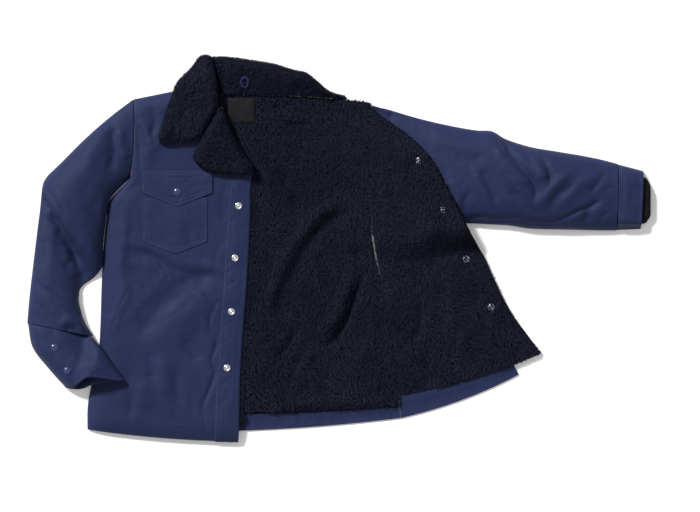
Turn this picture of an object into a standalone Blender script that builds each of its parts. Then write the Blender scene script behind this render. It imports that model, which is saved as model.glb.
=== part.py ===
"""A pile-lined ranch jacket, laid on its back on a flat surface with its left front thrown open.

Right and left are the wearer's: the right front is closed over the back, on the -X side, and the left
front lies open, pile up, on the +X side, over the root of the left sleeve. +Y points to the collar and
+Z up. Lengths are in millimetres until a mesh is made. Each panel is a grid of points between a left and
a right edge, worked out from a short table of sections that run across it. A fold is a soft ridge or
trough along a short path.
"""

import math

import bpy
import numpy as np

MM = 0.001

# Driving sizes
CLOTH = 2.0  # padded shell cloth
THIN_CLOTH = 1.5  # folded edges, pockets and the under side of the collar
PILE = 9.0  # pile lining, to the tips of its pile
SEAM_GAP = 0.3
HEM_DEPTH = 30.0
PLACKET_WIDTH = 47.0
SIDE_ROUNDING = 45.0  # how far in from the side seam the front still curves down
HEM_ROUNDING = 35.0
SLEEVE_ROUNDING = 0.41  # share of a sleeve's width over which it rounds down to each edge
FRONT_RISE = 18.7  # height of the right front's under side over the seam with the back
PILE_REACH = 8.0  # how far the pile stands past the cut edge of the left front
CUFF_WALL = 3.0
KNIT_WALL = 2.5
KNIT_FLOOR_LEFT = CUFF_WALL + 0.6  # the knit cuff lies on the inside of its cuff band
KNIT_FLOOR_RIGHT = CUFF_WALL + 3.6
RIB_HEIGHT = 0.3
CENTRE_X = -0.95  # moves the model to the middle of its own box
CENTRE_Y = -2.85

RIGHT_SLOPE_FROM, LEFT_SLOPE_FROM = 0.45, 0.9  # share of a cuff's width where it starts to thin
CUFF_POINTS, KNIT_POINTS = 20, 28
MOUTH_AXIS = (0.54, -0.84)  # out of the right sleeve's mouth
MOUTH_BACK, MOUTH_FORWARD = 18.0, 12.0  # its upper lip lies back from its lower one

# Heights of the layers, from the floor up
BACK_LINING_FLOOR = CLOTH + SEAM_GAP
BACK_LINING_TOP = BACK_LINING_FLOOR + PILE
FRONT_LINING_FLOOR = BACK_LINING_TOP + SEAM_GAP
FRONT_FLOOR = CLOTH + SEAM_GAP
COLLAR_FLOOR = FRONT_FLOOR + FRONT_RISE + CLOTH + 0.4
LEAF_FLOOR = COLLAR_FLOOR + THIN_CLOTH + SEAM_GAP
COLLAR_EDGE, COLLAR_CROWN = 12.0, 12.0
RIM = 6.0  # height of the pile at the edge of the folded leaf and lapel

# Sections: left_x, left_y, right_x, right_y, bow towards the panel's start
RIGHT_FRONT = (
    (-410, 296, -254, 328, 0),
    (-408.2, 268, -248, 288, 0),
    (-407.7, 228, -222, 240, 0),
    (-409.2, 196, -194, 192, 0),
    (-412.4, 164, -176, 158, 0),
    (-416, 140, -177, 132, 0),
    (-434, 120, -178, 104, 0),
    (-456, 96, -178, 80, 0),
    (-464, 56, -179, 44, 0),
    (-470, -4, -182, -16, 0),
    (-474, -88, -187, -96, 0),
    (-476, -154, -192, -156, 0),
    (-479, -204, -195, -202, 0),
    (-492, -264, -199, -274, 0),
    (-501, -314, -200, -328, -2),
    (-502, -362, -202, -386, -5),
)
BACK = (
    (-410, 294, 64, 290, 13),
    (-408.2, 268, 65, 262, 6),
    (-407.7, 228, 65, 222, 2),
    (-412.4, 164, 65, 160, 0),
    (-416, 140, 65, 136, 0),
    (-434, 120, 65, 116, 0),
    (-456, 96, 65, 90, 0),
    (-464, 56, 65, 46, 0),
    (-466.8, 32, 65.2, 22, 0),
    (-470, -4, 70, -8, 0),
    (-474, -88, 92, -92, 0),
    (-476, -154, 105, -154, 0),
    (-479, -204, 112, -196, 0),
    (-492, -264, 118, -264, 0),
    (-501, -314, 121, -310, -8),
    (-502, -362, 122, -340, -14),
)
LEFT_FRONT = (
    (66, 280, 86, 262, 0),
    (66, 236, 138, 226, 0),
    (66, 196, 182, 182, 0),
    (66, 156, 214, 124, 0),
    (66, 116, 232, 90, 0),
    (66, 72, 258, 40, 0),
    (70.6, 26, 290, -16, 0),
    (79, -28, 308, -56, 0),
    (93, -92, 334, -110, 0),
    (104.6, -148, 356, -146, 0),
    (112.8, -196, 380, -178, -3),
    (119, -264, 398, -202, -8),
    (123, -340, 414, -222, -13),
)
COLLAR_LEAF = (
    (-280, 380, -256, 380, 3),
    (-298, 356, -249, 352, 0),
    (-322, 332, -245, 324, 0),
    (-334, 304, -243, 300, 0),
    (-344, 276, -244, 280, 0),
    (-352, 250, -259, 255, 0),
    (-360, 222, -273, 230, 0),
    (-356, 205, -281, 215, -2),
)
COLLAR_BACK = (
    (-249, 383, -238, 308, 0),
    (-222, 382, -218, 307, 0),
    (-178, 376, -178, 307, 0),
    (-122, 366, -122, 306.4, 0),
    (-92, 356, -86, 305, 0),
    (-66, 350, -62, 304, 0),
    (-46, 334, -42, 303, 0),
    (-22, 314, -18, 301.4, 0),
    (8, 303, 13, 298.6, 0),
)
LAPEL = (
    (-244, 275, -233, 278, 0),
    (-261, 242, -221, 242, 0),
    (-278, 208, -207, 210, 0),
    (-291, 184, -190, 184, 0),
    (-281, 166, -175, 162, -2),
    (-262, 154, -172, 144, -3),
)
# Sleeve and cuff sections: left_x, left_y, right_x, right_y, bow, height
RIGHT_SLEEVE = (
    (-411.4, 296, -418.4, 141, -5, 16),
    (-458, 260, -441, 122, 0, 26),
    (-508, 216, -463, 96, 0, 36),
    (-554, 170, -470, 56, 0, 42),
    (-584, 140, -476, 8, 0, 44),
    (-592, 120, -480, -42, 0, 40),
    (-594, 106, -488, -56, 0, 23),
    (-596, 80, -514, -76, 0, 20),
    (-602, 32, -521, -98, 0, 25),
    (-610, -34, -516, -128, 0, 30),
    (-618, -104, -506, -154, 0, 31),
    (-622, -150, -492, -176, 0, 30),
)
LEFT_SLEEVE = (
    (66, 285, 66, 26, 0, 5),
    (106, 274, 106, 24, 0, 9),
    (138, 264, 140, 32, 0, 14),
    (200, 248, 200, 44, 0, 26),
    (276, 234, 262, 50, 0, 37),
    (306, 232, 302, 48, 0, 41),
    (330, 218, 338, 46, 0, 43),
    (378, 202, 378, 40, 0, 44),
    (434, 192, 434, 38, 0, 42),
    (482, 184, 482, 37, 0, 38),
    (522, 176, 522, 36, 0, 33),
    (557, 167, 555, 36, 0, 28),
)
RIGHT_CUFF = (
    (-622.2, -150.6, -492.1, -176.6, 0, 33),
    (-612, -200, -464, -212, 0, 38),
    (-580, -242, -444, -240, 0, 40),
    (-546, -280, -426, -264, 0, 36),
)
LEFT_CUFF = (
    (558, 167, 556, 36, 0, 31),
    (584, 160.5, 580, 37, 0, 30),
    (608, 154, 603, 38, 0, 27),
)
RIGHT_KNIT = (
    (-596, -196, -508, -208, 0, 23),
    (-574, -224, -496, -234, 0, 23),
    (-553, -250, -486, -256, 0, 22),
)
LEFT_KNIT = (
    (580, 152, 580, 44, 0, 17),
    (604, 144, 602, 48, 0, 17),
    (617, 136, 615, 52, 0, 16),
    (622, 126, 622, 62, 0, 14),
)

# Folds: a path of (x, y) points with the fold's half width and height
FRONT_FOLDS = (
    (9, 4.5, ((-420, -6), (-372, -27), (-330, -37), (-278, -42), (-242, -46), (-234, -66))),
    (10, 5.0, ((-270, -64), (-346, -92), (-386, -152))),
    (8, -3.0, ((-420, -30), (-385, -58), (-352, -70))),
    (7, -3.5, ((-422, -84), (-440, -124), (-458, -168))),
    (9, 3.0, ((-306, -196), (-274, -228))),
    (8, 3.0, ((-378, -220), (-374, -260))),
    (8, 3.0, ((-322, -264), (-322, -304))),
    (9, 3.0, ((-294, -100), (-244, -120))),
    (8, -2.5, ((-242, -60), (-250, -150), (-246, -230), (-262, -330))),
    (8, 3.0, ((-392, 250), (-378, 232), (-372, 205))),
    (10, -3.5, ((-400, 246), (-398, 190), (-400, 150))),
)
LINING_FOLDS = (
    (12, 7.0, ((12, 94), (-36, 70), (-74, 30), (-102, -10), (-124, -58), (-144, -124))),
    (12, -4.0, ((20, 76), (-24, 52), (-58, 14), (-84, -26), (-106, -76))),
    (9, -5.5, ((46, -54), (34, -94), (18, -138), (0, -172), (-20, -192))),
    (12, 6.0, ((30, -44), (16, -88), (0, -132), (-22, -166))),
    (9, -4.5, ((-84, -162), (-104, -196), (-120, -222))),
    (11, 4.0, ((-70, -212), (-94, -256), (-100, -282))),
    (9, 5.0, ((-188, -338), (-120, -322), (4, -306), (88, -306))),
)
LEFT_LINING_FOLDS = (
    (10, -3.0, ((122, 26), (130, -4))),
    (10, 4.0, ((98, -108), (102, -158), (148, -216))),
    (10, -4.0, ((162, -108), (160, -158), (148, -188))),
    (9, -3.5, ((176, -208), (176, -276))),
    (12, -4.0, ((60, -108), (78, -144))),
)
RIGHT_SLEEVE_FOLDS = (
    (10, 4.0, ((-470, 230), (-500, 170), (-498, 120))),
    (9, -4.0, ((-560, 20), (-540, -40), (-534, -70))),
    (8, -3.0, ((-566, -108), (-548, -128))),
    (8, 4.0, ((-552, -152), (-536, -142), (-516, -160))),
)
LEFT_SLEEVE_FOLDS = (
    (9, -6.0, ((338, 204), (360, 170), (380, 144), (396, 122), (398, 104), (386, 90))),
    (9, 5.0, ((398, 186), (410, 166), (422, 136))),
    (9, 4.0, ((288, 156), (300, 128), (314, 92))),
    (9, -4.0, ((338, 118), (354, 98), (380, 84), (398, 64))),
    (9, 4.0, ((522, 104), (496, 80), (492, 64))),
    (9, -4.0, ((380, 56), (444, 66), (488, 84))),
)

# Snaps: x, y
PLACKET_SNAPS = ((-200, 84), (-207, -20), (-214, -127), (-223, -239))
LEFT_FRONT_SNAPS = ((160, 174), (208, 76), (254, -22), (304, -118))
CUFF_SNAPS = ((-566, -198), (-540, -244))
FLAP_SNAP = (-322, 112)
LOOP_CENTRE, LOOP_HALF, LOOP_HOLE_HALF = (-188.0, 330.0), (9.0, 12.0), (4.5, 7.5)
LABEL_LEFT, LABEL_RIGHT, LABEL_TOP, LABEL_BOTTOM = -222.0, -168.0, 300.0, 250.0
LABEL_THICKNESS = 0.8
SNAP_RADIUS = 7.0
CAP_RADIUS = 7.5

# Chest pocket: the flap and the bag under it
FLAP_LEFT, FLAP_RIGHT, FLAP_TOP = -392.0, -252.0, 154.0
FLAP_SIDE_DEPTH, FLAP_POINT_DEPTH = 44.0, 72.0
POCKET_LEFT, POCKET_RIGHT, POCKET_TOP = -390.0, -262.0, 100.0
POCKET_CORNER_Y, POCKET_POINT_Y = 12.0, -12.0

# Colours: red, green, blue, roughness, metallic
NAVY_SHELL = (0.022, 0.030, 0.090, 0.62, 0.0)
NAVY_PILE = (0.010, 0.011, 0.026, 0.95, 0.0)
BLACK_KNIT = (0.010, 0.010, 0.012, 0.9, 0.0)
BARE_LABEL = (0.012, 0.012, 0.014, 0.7, 0.0)
SILVER_METAL = (0.75, 0.75, 0.76, 0.3, 1.0)
NAVY_ENAMEL = (0.016, 0.024, 0.080, 0.25, 0.2)


def clear_scene():
    for thing in list(bpy.data.objects):
        bpy.data.objects.remove(thing, do_unlink=True)


def material(name, finish):
    found = bpy.data.materials.get(name)
    if found:
        return found
    made = bpy.data.materials.new(name)
    made.use_nodes = True
    shader = made.node_tree.nodes["Principled BSDF"]
    shader.inputs["Base Color"].default_value = (*finish[:3], 1.0)
    shader.inputs["Roughness"].default_value = finish[3]
    shader.inputs["Metallic"].default_value = finish[4]
    return made


def smoothstep(value):
    held = np.clip(value, 0.0, 1.0)
    return held * held * (3.0 - 2.0 * held)


def rounded(distance, reach):
    """A quarter ellipse: 0 at an edge, 1 from reach inwards."""
    inward = np.clip(np.asarray(distance) / reach, 0.0, 1.0)
    return np.sqrt(1.0 - (1.0 - inward) ** 2)


def through(table, places):
    """Rows of a smooth curve through the table's rows, at places from 0 to 1 along its middle line."""
    rows = np.asarray(table, float)
    middle = (rows[:, 0:2] + rows[:, 2:4]) / 2.0
    steps = np.linalg.norm(np.diff(middle, axis=0), axis=1)
    knots = np.concatenate([[0.0], np.cumsum(steps)])
    slopes = np.gradient(rows, knots, axis=0)
    at = np.asarray(places) * knots[-1]
    index = np.clip(np.searchsorted(knots, at, side="right") - 1, 0, len(rows) - 2)
    span = (knots[index + 1] - knots[index])[:, None]
    part = (at - knots[index])[:, None] / span
    return (
        rows[index] * (1 + 2 * part) * (1 - part) ** 2
        + rows[index + 1] * part**2 * (3 - 2 * part)
        + slopes[index] * span * part * (1 - part) ** 2
        - slopes[index + 1] * span * part**2 * (1 - part)
    )


def length_of(table):
    rows = np.asarray(table, float)
    middle = (rows[:, 0:2] + rows[:, 2:4]) / 2.0
    return float(np.linalg.norm(np.diff(middle, axis=0), axis=1).sum())


def spread(total, near_start, near_end, count):
    """Distances along total: the fixed ones near each end, and count even steps between them."""
    inner = np.linspace(near_start[-1], total - near_end[-1], count + 1)[1:-1]
    return np.concatenate([near_start, inner, total - np.asarray(near_end)[::-1]])


class Grid:
    """A panel's plan: x and y of each point, and how far it lies from the four edges."""

    def __init__(self, table, along, across):
        length = length_of(table)
        places = spread(length, *along)
        rows = through(table, places / length)
        self.x, self.y, self.left, self.right = [], [], [], []
        for row in rows:
            start, end, bow = row[0:2], row[2:4], row[4]
            width = float(np.linalg.norm(end - start))
            gaps = spread(width, *across)
            part = gaps / width
            side = np.array([-(end - start)[1], (end - start)[0]]) / width
            points = start + (end - start) * part[:, None]
            points = points + side * (bow * 4 * part * (1 - part))[:, None]
            self.x.append(points[:, 0])
            self.y.append(points[:, 1])
            self.left.append(gaps)
            self.right.append(width - gaps)
        self.x, self.y = np.array(self.x), np.array(self.y)
        self.left, self.right = np.array(self.left), np.array(self.right)
        shape = self.x.shape
        self.start = np.broadcast_to(places[:, None], shape)
        self.end = length - self.start
        self.height = np.broadcast_to(rows[:, -1][:, None], shape)

    def at(self, z):
        return np.stack([self.x, self.y, np.broadcast_to(z, self.x.shape)], axis=2)


def fold_height(folds, x, y):
    """The sum of soft ridges and troughs: each falls off as a bell curve from its path."""
    total = np.zeros_like(x)
    for half_width, height, path in folds:
        nearest = np.full_like(x, np.inf)
        for (ax, ay), (bx, by) in zip(path[:-1], path[1:]):
            run = (bx - ax) ** 2 + (by - ay) ** 2
            part = np.clip(((x - ax) * (bx - ax) + (y - ay) * (by - ay)) / run, 0, 1)
            nearest = np.minimum(nearest, np.hypot(x - ax - part * (bx - ax), y - ay - part * (by - ay)))
        total += height * np.exp(-((nearest / half_width) ** 2))
    return total


def moved_out(points, distance):
    """The grid of points, each moved along the surface's upward normal."""
    along = np.gradient(points, axis=0)
    across = np.gradient(points, axis=1)
    normal = np.cross(along, across)
    normal /= np.linalg.norm(normal, axis=2, keepdims=True)
    normal *= np.where(normal[:, :, 2:3] < 0, -1.0, 1.0)
    return points + normal * distance


def raised(points, distance):
    return points + np.array([0.0, 0.0, distance])


def make(name, points, faces, finish_name, finish):
    """A mesh object with its faces turned outwards, in metres, centred on its own box."""
    points = np.asarray(points, float) - (CENTRE_X, CENTRE_Y, 0.0)
    volume = 0.0
    for face in faces:
        for second, third in zip(face[1:-1], face[2:]):
            volume += float(np.dot(points[face[0]], np.cross(points[second], points[third])))
    if volume < 0:
        faces = [tuple(reversed(face)) for face in faces]
    mesh = bpy.data.meshes.new(name)
    mesh.from_pydata([tuple(point) for point in points * MM], [], [tuple(face) for face in faces])
    mesh.validate()
    mesh.materials.append(material(finish_name, finish))
    mesh.shade_smooth()
    mesh.set_sharp_from_angle(angle=math.radians(40))
    made = bpy.data.objects.new(name, mesh)
    bpy.context.scene.collection.objects.link(made)
    return made


def border(rows, columns):
    """The places on a grid's edge, once round."""
    top = [(0, j) for j in range(columns - 1)]
    right = [(i, columns - 1) for i in range(rows - 1)]
    bottom = [(rows - 1, j) for j in range(columns - 1, 0, -1)]
    left = [(i, 0) for i in range(rows - 1, 0, -1)]
    return top + right + bottom + left


def slab(name, bottom, top, finish_name, finish):
    """A closed piece between two grids of points. A level side is one face of many corners.

    Both sides are cut into triangles along the same diagonals, so pieces on one grid stay clear.
    """
    rows, columns = top.shape[:2]
    points, faces, numbers = [], [], []
    loop = border(rows, columns)
    for grid, turned in ((bottom, True), (top, False)):
        number = {}
        level = np.ptp(grid[:, :, 2]) < 1e-9
        places = loop if level else [(i, j) for i in range(rows) for j in range(columns)]
        for place in places:
            number[place] = len(points)
            points.append(grid[place])
        numbers.append(number)
        if level:
            face = [number[place] for place in loop]
            faces.append(face[::-1] if turned else face)
            continue
        for i in range(rows - 1):
            for j in range(columns - 1):
                near, far = number[i, j], number[i + 1, j + 1]
                for face in ([near, number[i, j + 1], far], [near, far, number[i + 1, j]]):
                    faces.append(face[::-1] if turned else face)
    low, high = numbers
    for here, following in zip(loop, loop[1:] + loop[:1]):
        faces.append([low[here], low[following], high[following], high[here]])
    return make(name, points, faces, finish_name, finish)


def tube(name, outer, inner, finish_name, finish):
    """A closed wall between two stacks of rings, open at both ends."""
    stations, around = outer.shape[:2]
    points = np.concatenate([outer.reshape(-1, 3), inner.reshape(-1, 3)])
    shift = stations * around
    faces = []
    for i in range(stations - 1):
        for j in range(around):
            k = (j + 1) % around
            face = [i * around + j, i * around + k, (i + 1) * around + k, (i + 1) * around + j]
            faces.append(face)
            faces.append([shift + corner for corner in reversed(face)])
    last = (stations - 1) * around
    for j in range(around):
        k = (j + 1) % around
        faces.append([j, shift + j, shift + k, k])
        faces.append([last + j, last + k, shift + last + k, shift + last + j])
    return make(name, points, faces, finish_name, finish)


def turned(name, profile, centre, floor, segments, finish_name, finish):
    """A round piece: profile rows are radius and height over floor, from its foot up to its middle."""
    angles = np.linspace(0.0, 2 * math.pi, segments, endpoint=False)
    points, faces = [], []
    for radius, height in profile:
        for angle in angles:
            x, y = centre[0] + radius * math.cos(angle), centre[1] + radius * math.sin(angle)
            points.append((x, y, floor + height))
    for i in range(len(profile) - 1):
        for j in range(segments):
            k = (j + 1) % segments
            low, high = i * segments, (i + 1) * segments
            faces.append([low + j, low + k, high + k, high + j])
    faces.append(list(range(segments))[::-1])
    faces.append([(len(profile) - 1) * segments + j for j in range(segments)])
    return make(name, points, faces, finish_name, finish)


def height_on(surface, x, y):
    """The height of a grid of points under each (x, y), read from its triangles; -inf beside it."""
    quads = np.stack([surface[:-1, :-1], surface[:-1, 1:], surface[1:, 1:], surface[1:, :-1]], axis=2)
    quads = quads.reshape(-1, 4, 3)
    halves = ([0, 1, 2], [0, 2, 3], [0, 1, 3], [1, 2, 3])
    corners = np.concatenate([quads[:, half] for half in halves])
    a, b, c = corners[:, 0], corners[:, 1], corners[:, 2]
    area = (b[:, 0] - a[:, 0]) * (c[:, 1] - a[:, 1]) - (c[:, 0] - a[:, 0]) * (b[:, 1] - a[:, 1])
    area = np.where(np.abs(area) < 1e-9, 1e-9, area)
    found = np.full(np.shape(x), -np.inf)
    for place in np.ndindex(np.shape(x)):
        px, py = x[place], y[place]
        s = ((px - a[:, 0]) * (c[:, 1] - a[:, 1]) - (c[:, 0] - a[:, 0]) * (py - a[:, 1])) / area
        t = ((b[:, 0] - a[:, 0]) * (py - a[:, 1]) - (px - a[:, 0]) * (b[:, 1] - a[:, 1])) / area
        inside = (s >= -1e-6) & (t >= -1e-6) & (s + t <= 1 + 1e-6)
        if inside.any():
            z = a[:, 2] + s * (b[:, 2] - a[:, 2]) + t * (c[:, 2] - a[:, 2])
            found[place] = z[inside].max()
    return found


def highest_near(surface, x, y, reach):
    """The highest of a surface's heights at each point and at eight points round it."""
    found = height_on(surface, x, y)
    for angle in np.linspace(0.0, 2 * math.pi, 9)[:-1]:
        aside_x, aside_y = x + reach * math.cos(angle), y + reach * math.sin(angle)
        found = np.maximum(found, height_on(surface, aside_x, aside_y))
    return found


def shell_piece(name, bottom, top):
    return slab(name, bottom, top, "navy_shell", NAVY_SHELL)


def pile_piece(name, bottom, top):
    return slab(name, bottom, top, "navy_pile", NAVY_PILE)


def front_floor(grid):
    """Height of the right front's under side: it rounds down to all four of its edges."""
    free_side = 0.15 + 0.85 * smoothstep((150.0 - grid.y) / 40.0)
    side = 1.0 - free_side * (1.0 - rounded(grid.left, SIDE_ROUNDING))
    hem = 1.0 - 0.72 * (1.0 - rounded(grid.end, HEM_ROUNDING))
    front = 1.0 - 0.24 * (1.0 - rounded(grid.right, 30.0))
    shoulder = rounded(grid.start, HEM_ROUNDING)
    folds = fold_height(FRONT_FOLDS, grid.x, grid.y)
    calm = rounded(grid.left, 60.0) * rounded(grid.end, 50.0)
    calm = calm * rounded(grid.right - PLACKET_WIDTH + 30.0, 40.0)
    return FRONT_FLOOR + FRONT_RISE * side * hem * front * shoulder + folds * calm


def right_front():
    """The closed front: shell, lining, turned hem and placket. Returns the shell's outer points."""
    along = ((0.0, 5.0, 14.0, 30.0), (0.0, 5.0, 14.0, HEM_DEPTH), 16)
    across = ((0.0, 4.0, 12.0, 24.0, 44.0), (0.0, 16.0, PLACKET_WIDTH), 9)
    grid = Grid(RIGHT_FRONT, along, across)
    under = grid.at(front_floor(grid))
    outer = moved_out(under, CLOTH)
    shell_piece("front_right_shell", under, outer)

    rows, columns = slice(3, -4), slice(3, None)
    lining_top = raised(under[rows, columns], -SEAM_GAP)
    reach = 12.0 * smoothstep((165.0 - lining_top[:, -1:, 1]) / 40.0) + 0.8
    past_edge = lining_top[:, -1:].copy()
    past_edge[:, :, 0] += reach
    lining_top = np.concatenate([lining_top, past_edge], axis=1)
    lining_bottom = lining_top.copy()
    lining_bottom[:, :, 2] = FRONT_LINING_FLOOR
    pile_piece("lining_front_right", lining_bottom, lining_top)

    hem_top = raised(under[-3:, 3:], -SEAM_GAP)
    shell_piece("hem_front_right", raised(hem_top, -THIN_CLOTH), hem_top)

    placket_under = moved_out(outer[8:, -3:], SEAM_GAP)
    shell_piece("placket_right", placket_under, moved_out(placket_under, THIN_CLOTH))
    return outer


def lining_rise(x, y):
    """How much the back lining rises towards the armhole, where the left front lies over the sleeve."""
    return 9.5 * smoothstep((x + 10.0) / 74.0) * smoothstep((y + 20.0) / 70.0)


def back():
    """The back: shell, lining and turned hem. Returns the lining's top points."""
    along = ((0.0, 6.0, 16.0), (0.0, 10.0, HEM_DEPTH, HEM_DEPTH + 14.0), 22)
    across = ((0.0, 14.0), (0.0, 6.0, 20.0), 24)
    grid = Grid(BACK, along, across)
    shell_piece("back_shell", grid.at(0.0), grid.at(CLOTH))

    shown = smoothstep((grid.x + 158.0) / 30.0)
    edge = 0.6 + 0.4 * rounded(grid.end - HEM_DEPTH + 2.0, 12.0)
    top = BACK_LINING_FLOOR + PILE * edge
    top = top + shown * (fold_height(LINING_FOLDS, grid.x, grid.y) + lining_rise(grid.x, grid.y))
    rows, columns = slice(1, -2), slice(1, None)
    surface = grid.at(top)[rows, columns]
    surface[0, -1, :2] -= (8.0, 0.0)
    base = surface.copy()
    base[:, :, 2] = BACK_LINING_FLOOR
    pile_piece("lining_back", base, surface)

    hem = grid.at(BACK_LINING_FLOOR)[-3:]
    hem[0, :, 1] -= 1.5
    hem_top = raised(hem, THIN_CLOTH)
    hem_top[0, :, 2] += 2.0
    shell_piece("hem_back", hem[:, 1:], hem_top[:, 1:])
    return surface


def sleeve(side, sections, folds):
    """A sleeve's two panels: the under one level on the floor, the upper one arched over it."""
    near_edge = (0.0, 3.0, 9.0, 20.0)
    grid = Grid(sections, ((0.0, 12.0), (0.0, 12.0), 19), (near_edge, near_edge, 5))
    reach = (grid.left + grid.right) * SLEEVE_ROUNDING
    arch = FRONT_FLOOR + grid.height * rounded(grid.left, reach) * rounded(grid.right, reach)
    calm = rounded(grid.left, 30.0) * rounded(grid.right, 30.0)
    under = grid.at(arch + calm * fold_height(folds, grid.x, grid.y))
    shell_piece(f"sleeve_{side}_upper", under, moved_out(under, CLOTH))
    shell_piece(f"sleeve_{side}_under", grid.at(0.0), grid.at(CLOTH))


def sleeve_cover(x, y):
    """Height of the open front over the root of the left sleeve: level on it, then sloping to the floor."""
    places = np.asarray(LEFT_SLEEVE, float)
    height = np.interp(x, places[:, 0], places[:, 5])
    lower_edge = np.interp(x, places[:, 2], places[:, 3])
    full = FRONT_FLOOR + height + CLOTH + 1.0
    return full * smoothstep((y - lower_edge + 62.0) / 58.0)


def left_front():
    """The open front, face down: shell, lining and turned hem. Returns the lining's top points."""
    along = ((0.0, 8.0), (0.0, 10.0, HEM_DEPTH, HEM_DEPTH + 12.0), 15)
    across = ((0.0, 6.0), (0.0, PILE_REACH, 22.0), 9)
    grid = Grid(LEFT_FRONT, along, across)
    base = grid.at(sleeve_cover(grid.x, grid.y))
    cloth_top = moved_out(base, CLOTH)
    shell_piece("front_left_shell", base[:, :-1], cloth_top[:, :-1])

    lining_base = moved_out(cloth_top, SEAM_GAP)
    edge = 0.62 + 0.38 * rounded(grid.right, 16.0)
    hem_edge = 0.6 + 0.4 * rounded(grid.end - HEM_DEPTH + 2.0, 12.0)
    folds = fold_height(LEFT_LINING_FOLDS, grid.x, grid.y)
    top = lining_base.copy()
    top[:, :, 2] += PILE * edge * hem_edge + folds * rounded(grid.right, 30.0)
    rows = slice(0, -2)
    pile_piece("lining_front_left", lining_base[rows], top[rows])

    hem = moved_out(cloth_top[-3:, :-1], SEAM_GAP)
    hem[0, :, 1] -= 1.5
    hem_top = raised(hem, THIN_CLOTH)
    hem_top[0, :, 2] += 2.0
    shell_piece("hem_front_left", hem, hem_top)
    return top


def collar():
    """The collar along the neck, its leaf folded down on the right, and the lapel."""
    grid = Grid(COLLAR_BACK, ((0.0, 8.0), (0.0, 8.0), 13), ((0.0, 4.0, 12.0), (0.0,), 4))
    shell_piece("under_collar_back", grid.at(0.0), grid.at(THIN_CLOTH))
    share = grid.left / (grid.left + grid.right)
    thick = COLLAR_EDGE + COLLAR_CROWN * (1.0 - share)
    ends = rounded(grid.start, 14.0) * rounded(grid.end, 60.0)
    top = THIN_CLOTH + SEAM_GAP + 4.0 + thick * rounded(grid.left, 16.0) * ends
    surface = grid.at(top)
    pile_piece("collar_back", grid.at(THIN_CLOTH + SEAM_GAP), surface)

    near, far = (0.0, 4.0, 12.0), (0.0, 5.0, 14.0)
    leaf = Grid(COLLAR_LEAF, ((0.0, 6.0), far, 10), (near, far, 5))
    floor = LEAF_FLOOR - (LEAF_FLOOR - 4.0) * smoothstep((leaf.y - 324.0) / 26.0)
    roll = np.clip(1.0 - leaf.right / 60.0, 0.0, 1.0) * smoothstep((leaf.y - 225.0) / 50.0)
    crown = RIM + (6.5 + 7.0 * roll) * rounded(leaf.left, 14.0) * rounded(leaf.right, 14.0)
    crown = crown * rounded(leaf.end + 3.0, 16.0)
    leaf_top = leaf.at(LEAF_FLOOR + crown - 10.0 * smoothstep((leaf.y - 330.0) / 50.0))
    pile_piece("collar_leaf_right", leaf.at(floor), leaf_top)
    rows = leaf.y.max(axis=1) < 312.0
    cloth = leaf.at(COLLAR_FLOOR)[rows][:, 1:-1]
    shell_piece("under_collar_leaf", cloth, raised(cloth, THIN_CLOTH))

    lapel = Grid(LAPEL, ((0.0, 6.0), far, 9), (near, far, 6))
    crown = RIM + 8.0 * rounded(lapel.left, 14.0) * rounded(lapel.right, 12.0)
    crown = crown * rounded(lapel.end + 3.0, 16.0)
    pile_piece("lapel_right", lapel.at(LEAF_FLOOR), lapel.at(LEAF_FLOOR + crown))
    cloth = lapel.at(COLLAR_FLOOR)[1:-1, 1:-1]
    shell_piece("under_lapel_right", cloth, raised(cloth, THIN_CLOTH))
    return surface


def cuff_ring(row, inset, under, slope_from, around, rib=0.0):
    """One flattened ring of a cuff: level below, rounded above, and thinner past slope_from."""
    start, end, height = row[0:2], row[2:4], row[5]
    width = float(np.linalg.norm(end - start))
    top_count = around // 2 + 1
    top_part = 0.5 - 0.5 * np.cos(np.linspace(0.0, math.pi, top_count))
    low_part = 0.5 - 0.5 * np.cos(np.linspace(math.pi, 0.0, around - top_count + 2))[1:-1]
    part = np.concatenate([top_part, low_part])
    upper = np.arange(around) < top_count
    lean = 1.0 - 0.62 * smoothstep((part - slope_from) / (1.0 - slope_from))
    full = height * lean * rounded(part, 0.28) * rounded(1.0 - part, 0.16)
    held = inset / width + part * (1.0 - 2.0 * inset / width)
    plan = start + (end - start) * held[:, None]
    room = np.maximum(full - 2.0 * inset, 1.2 * rounded(part, 0.1) * rounded(1.0 - part, 0.1))
    base = under(plan[:, 0], plan[:, 1]) + inset
    z = base + np.where(upper, room, 0.0)
    z = z + rib * np.where(np.arange(around) % 2 == 0, 1.0, -1.0) * np.where(upper, 1.0, 0.0)
    return np.column_stack([plan, z])


def mouth_slant(ring, row):
    """Draws the ring's top back along the sleeve and its under side forward, as an opened mouth shows."""
    height = (ring[:, 2] - ring[:, 2].min()) / max(np.ptp(ring[:, 2]), 1e-6)
    part = np.linalg.norm(ring[:, :2] - row[0:2], axis=1) / np.linalg.norm(row[2:4] - row[0:2])
    bulge = 4.0 * part * (1.0 - part)
    slid = ring.copy()
    slid[:, :2] += np.outer(bulge * (MOUTH_FORWARD - (MOUTH_FORWARD + MOUTH_BACK) * height), MOUTH_AXIS)
    return slid


def on_floor(x, y):
    return np.zeros_like(x)


def over_side(x, y):
    """The right cuff's under side: on the floor, then up over the right front's side edge."""
    places = np.asarray(RIGHT_FRONT, float)[::-1]
    side = np.interp(y, places[:, 1], places[:, 0])
    return 26.0 * smoothstep((x - side + 38.0) / 46.0)


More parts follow.
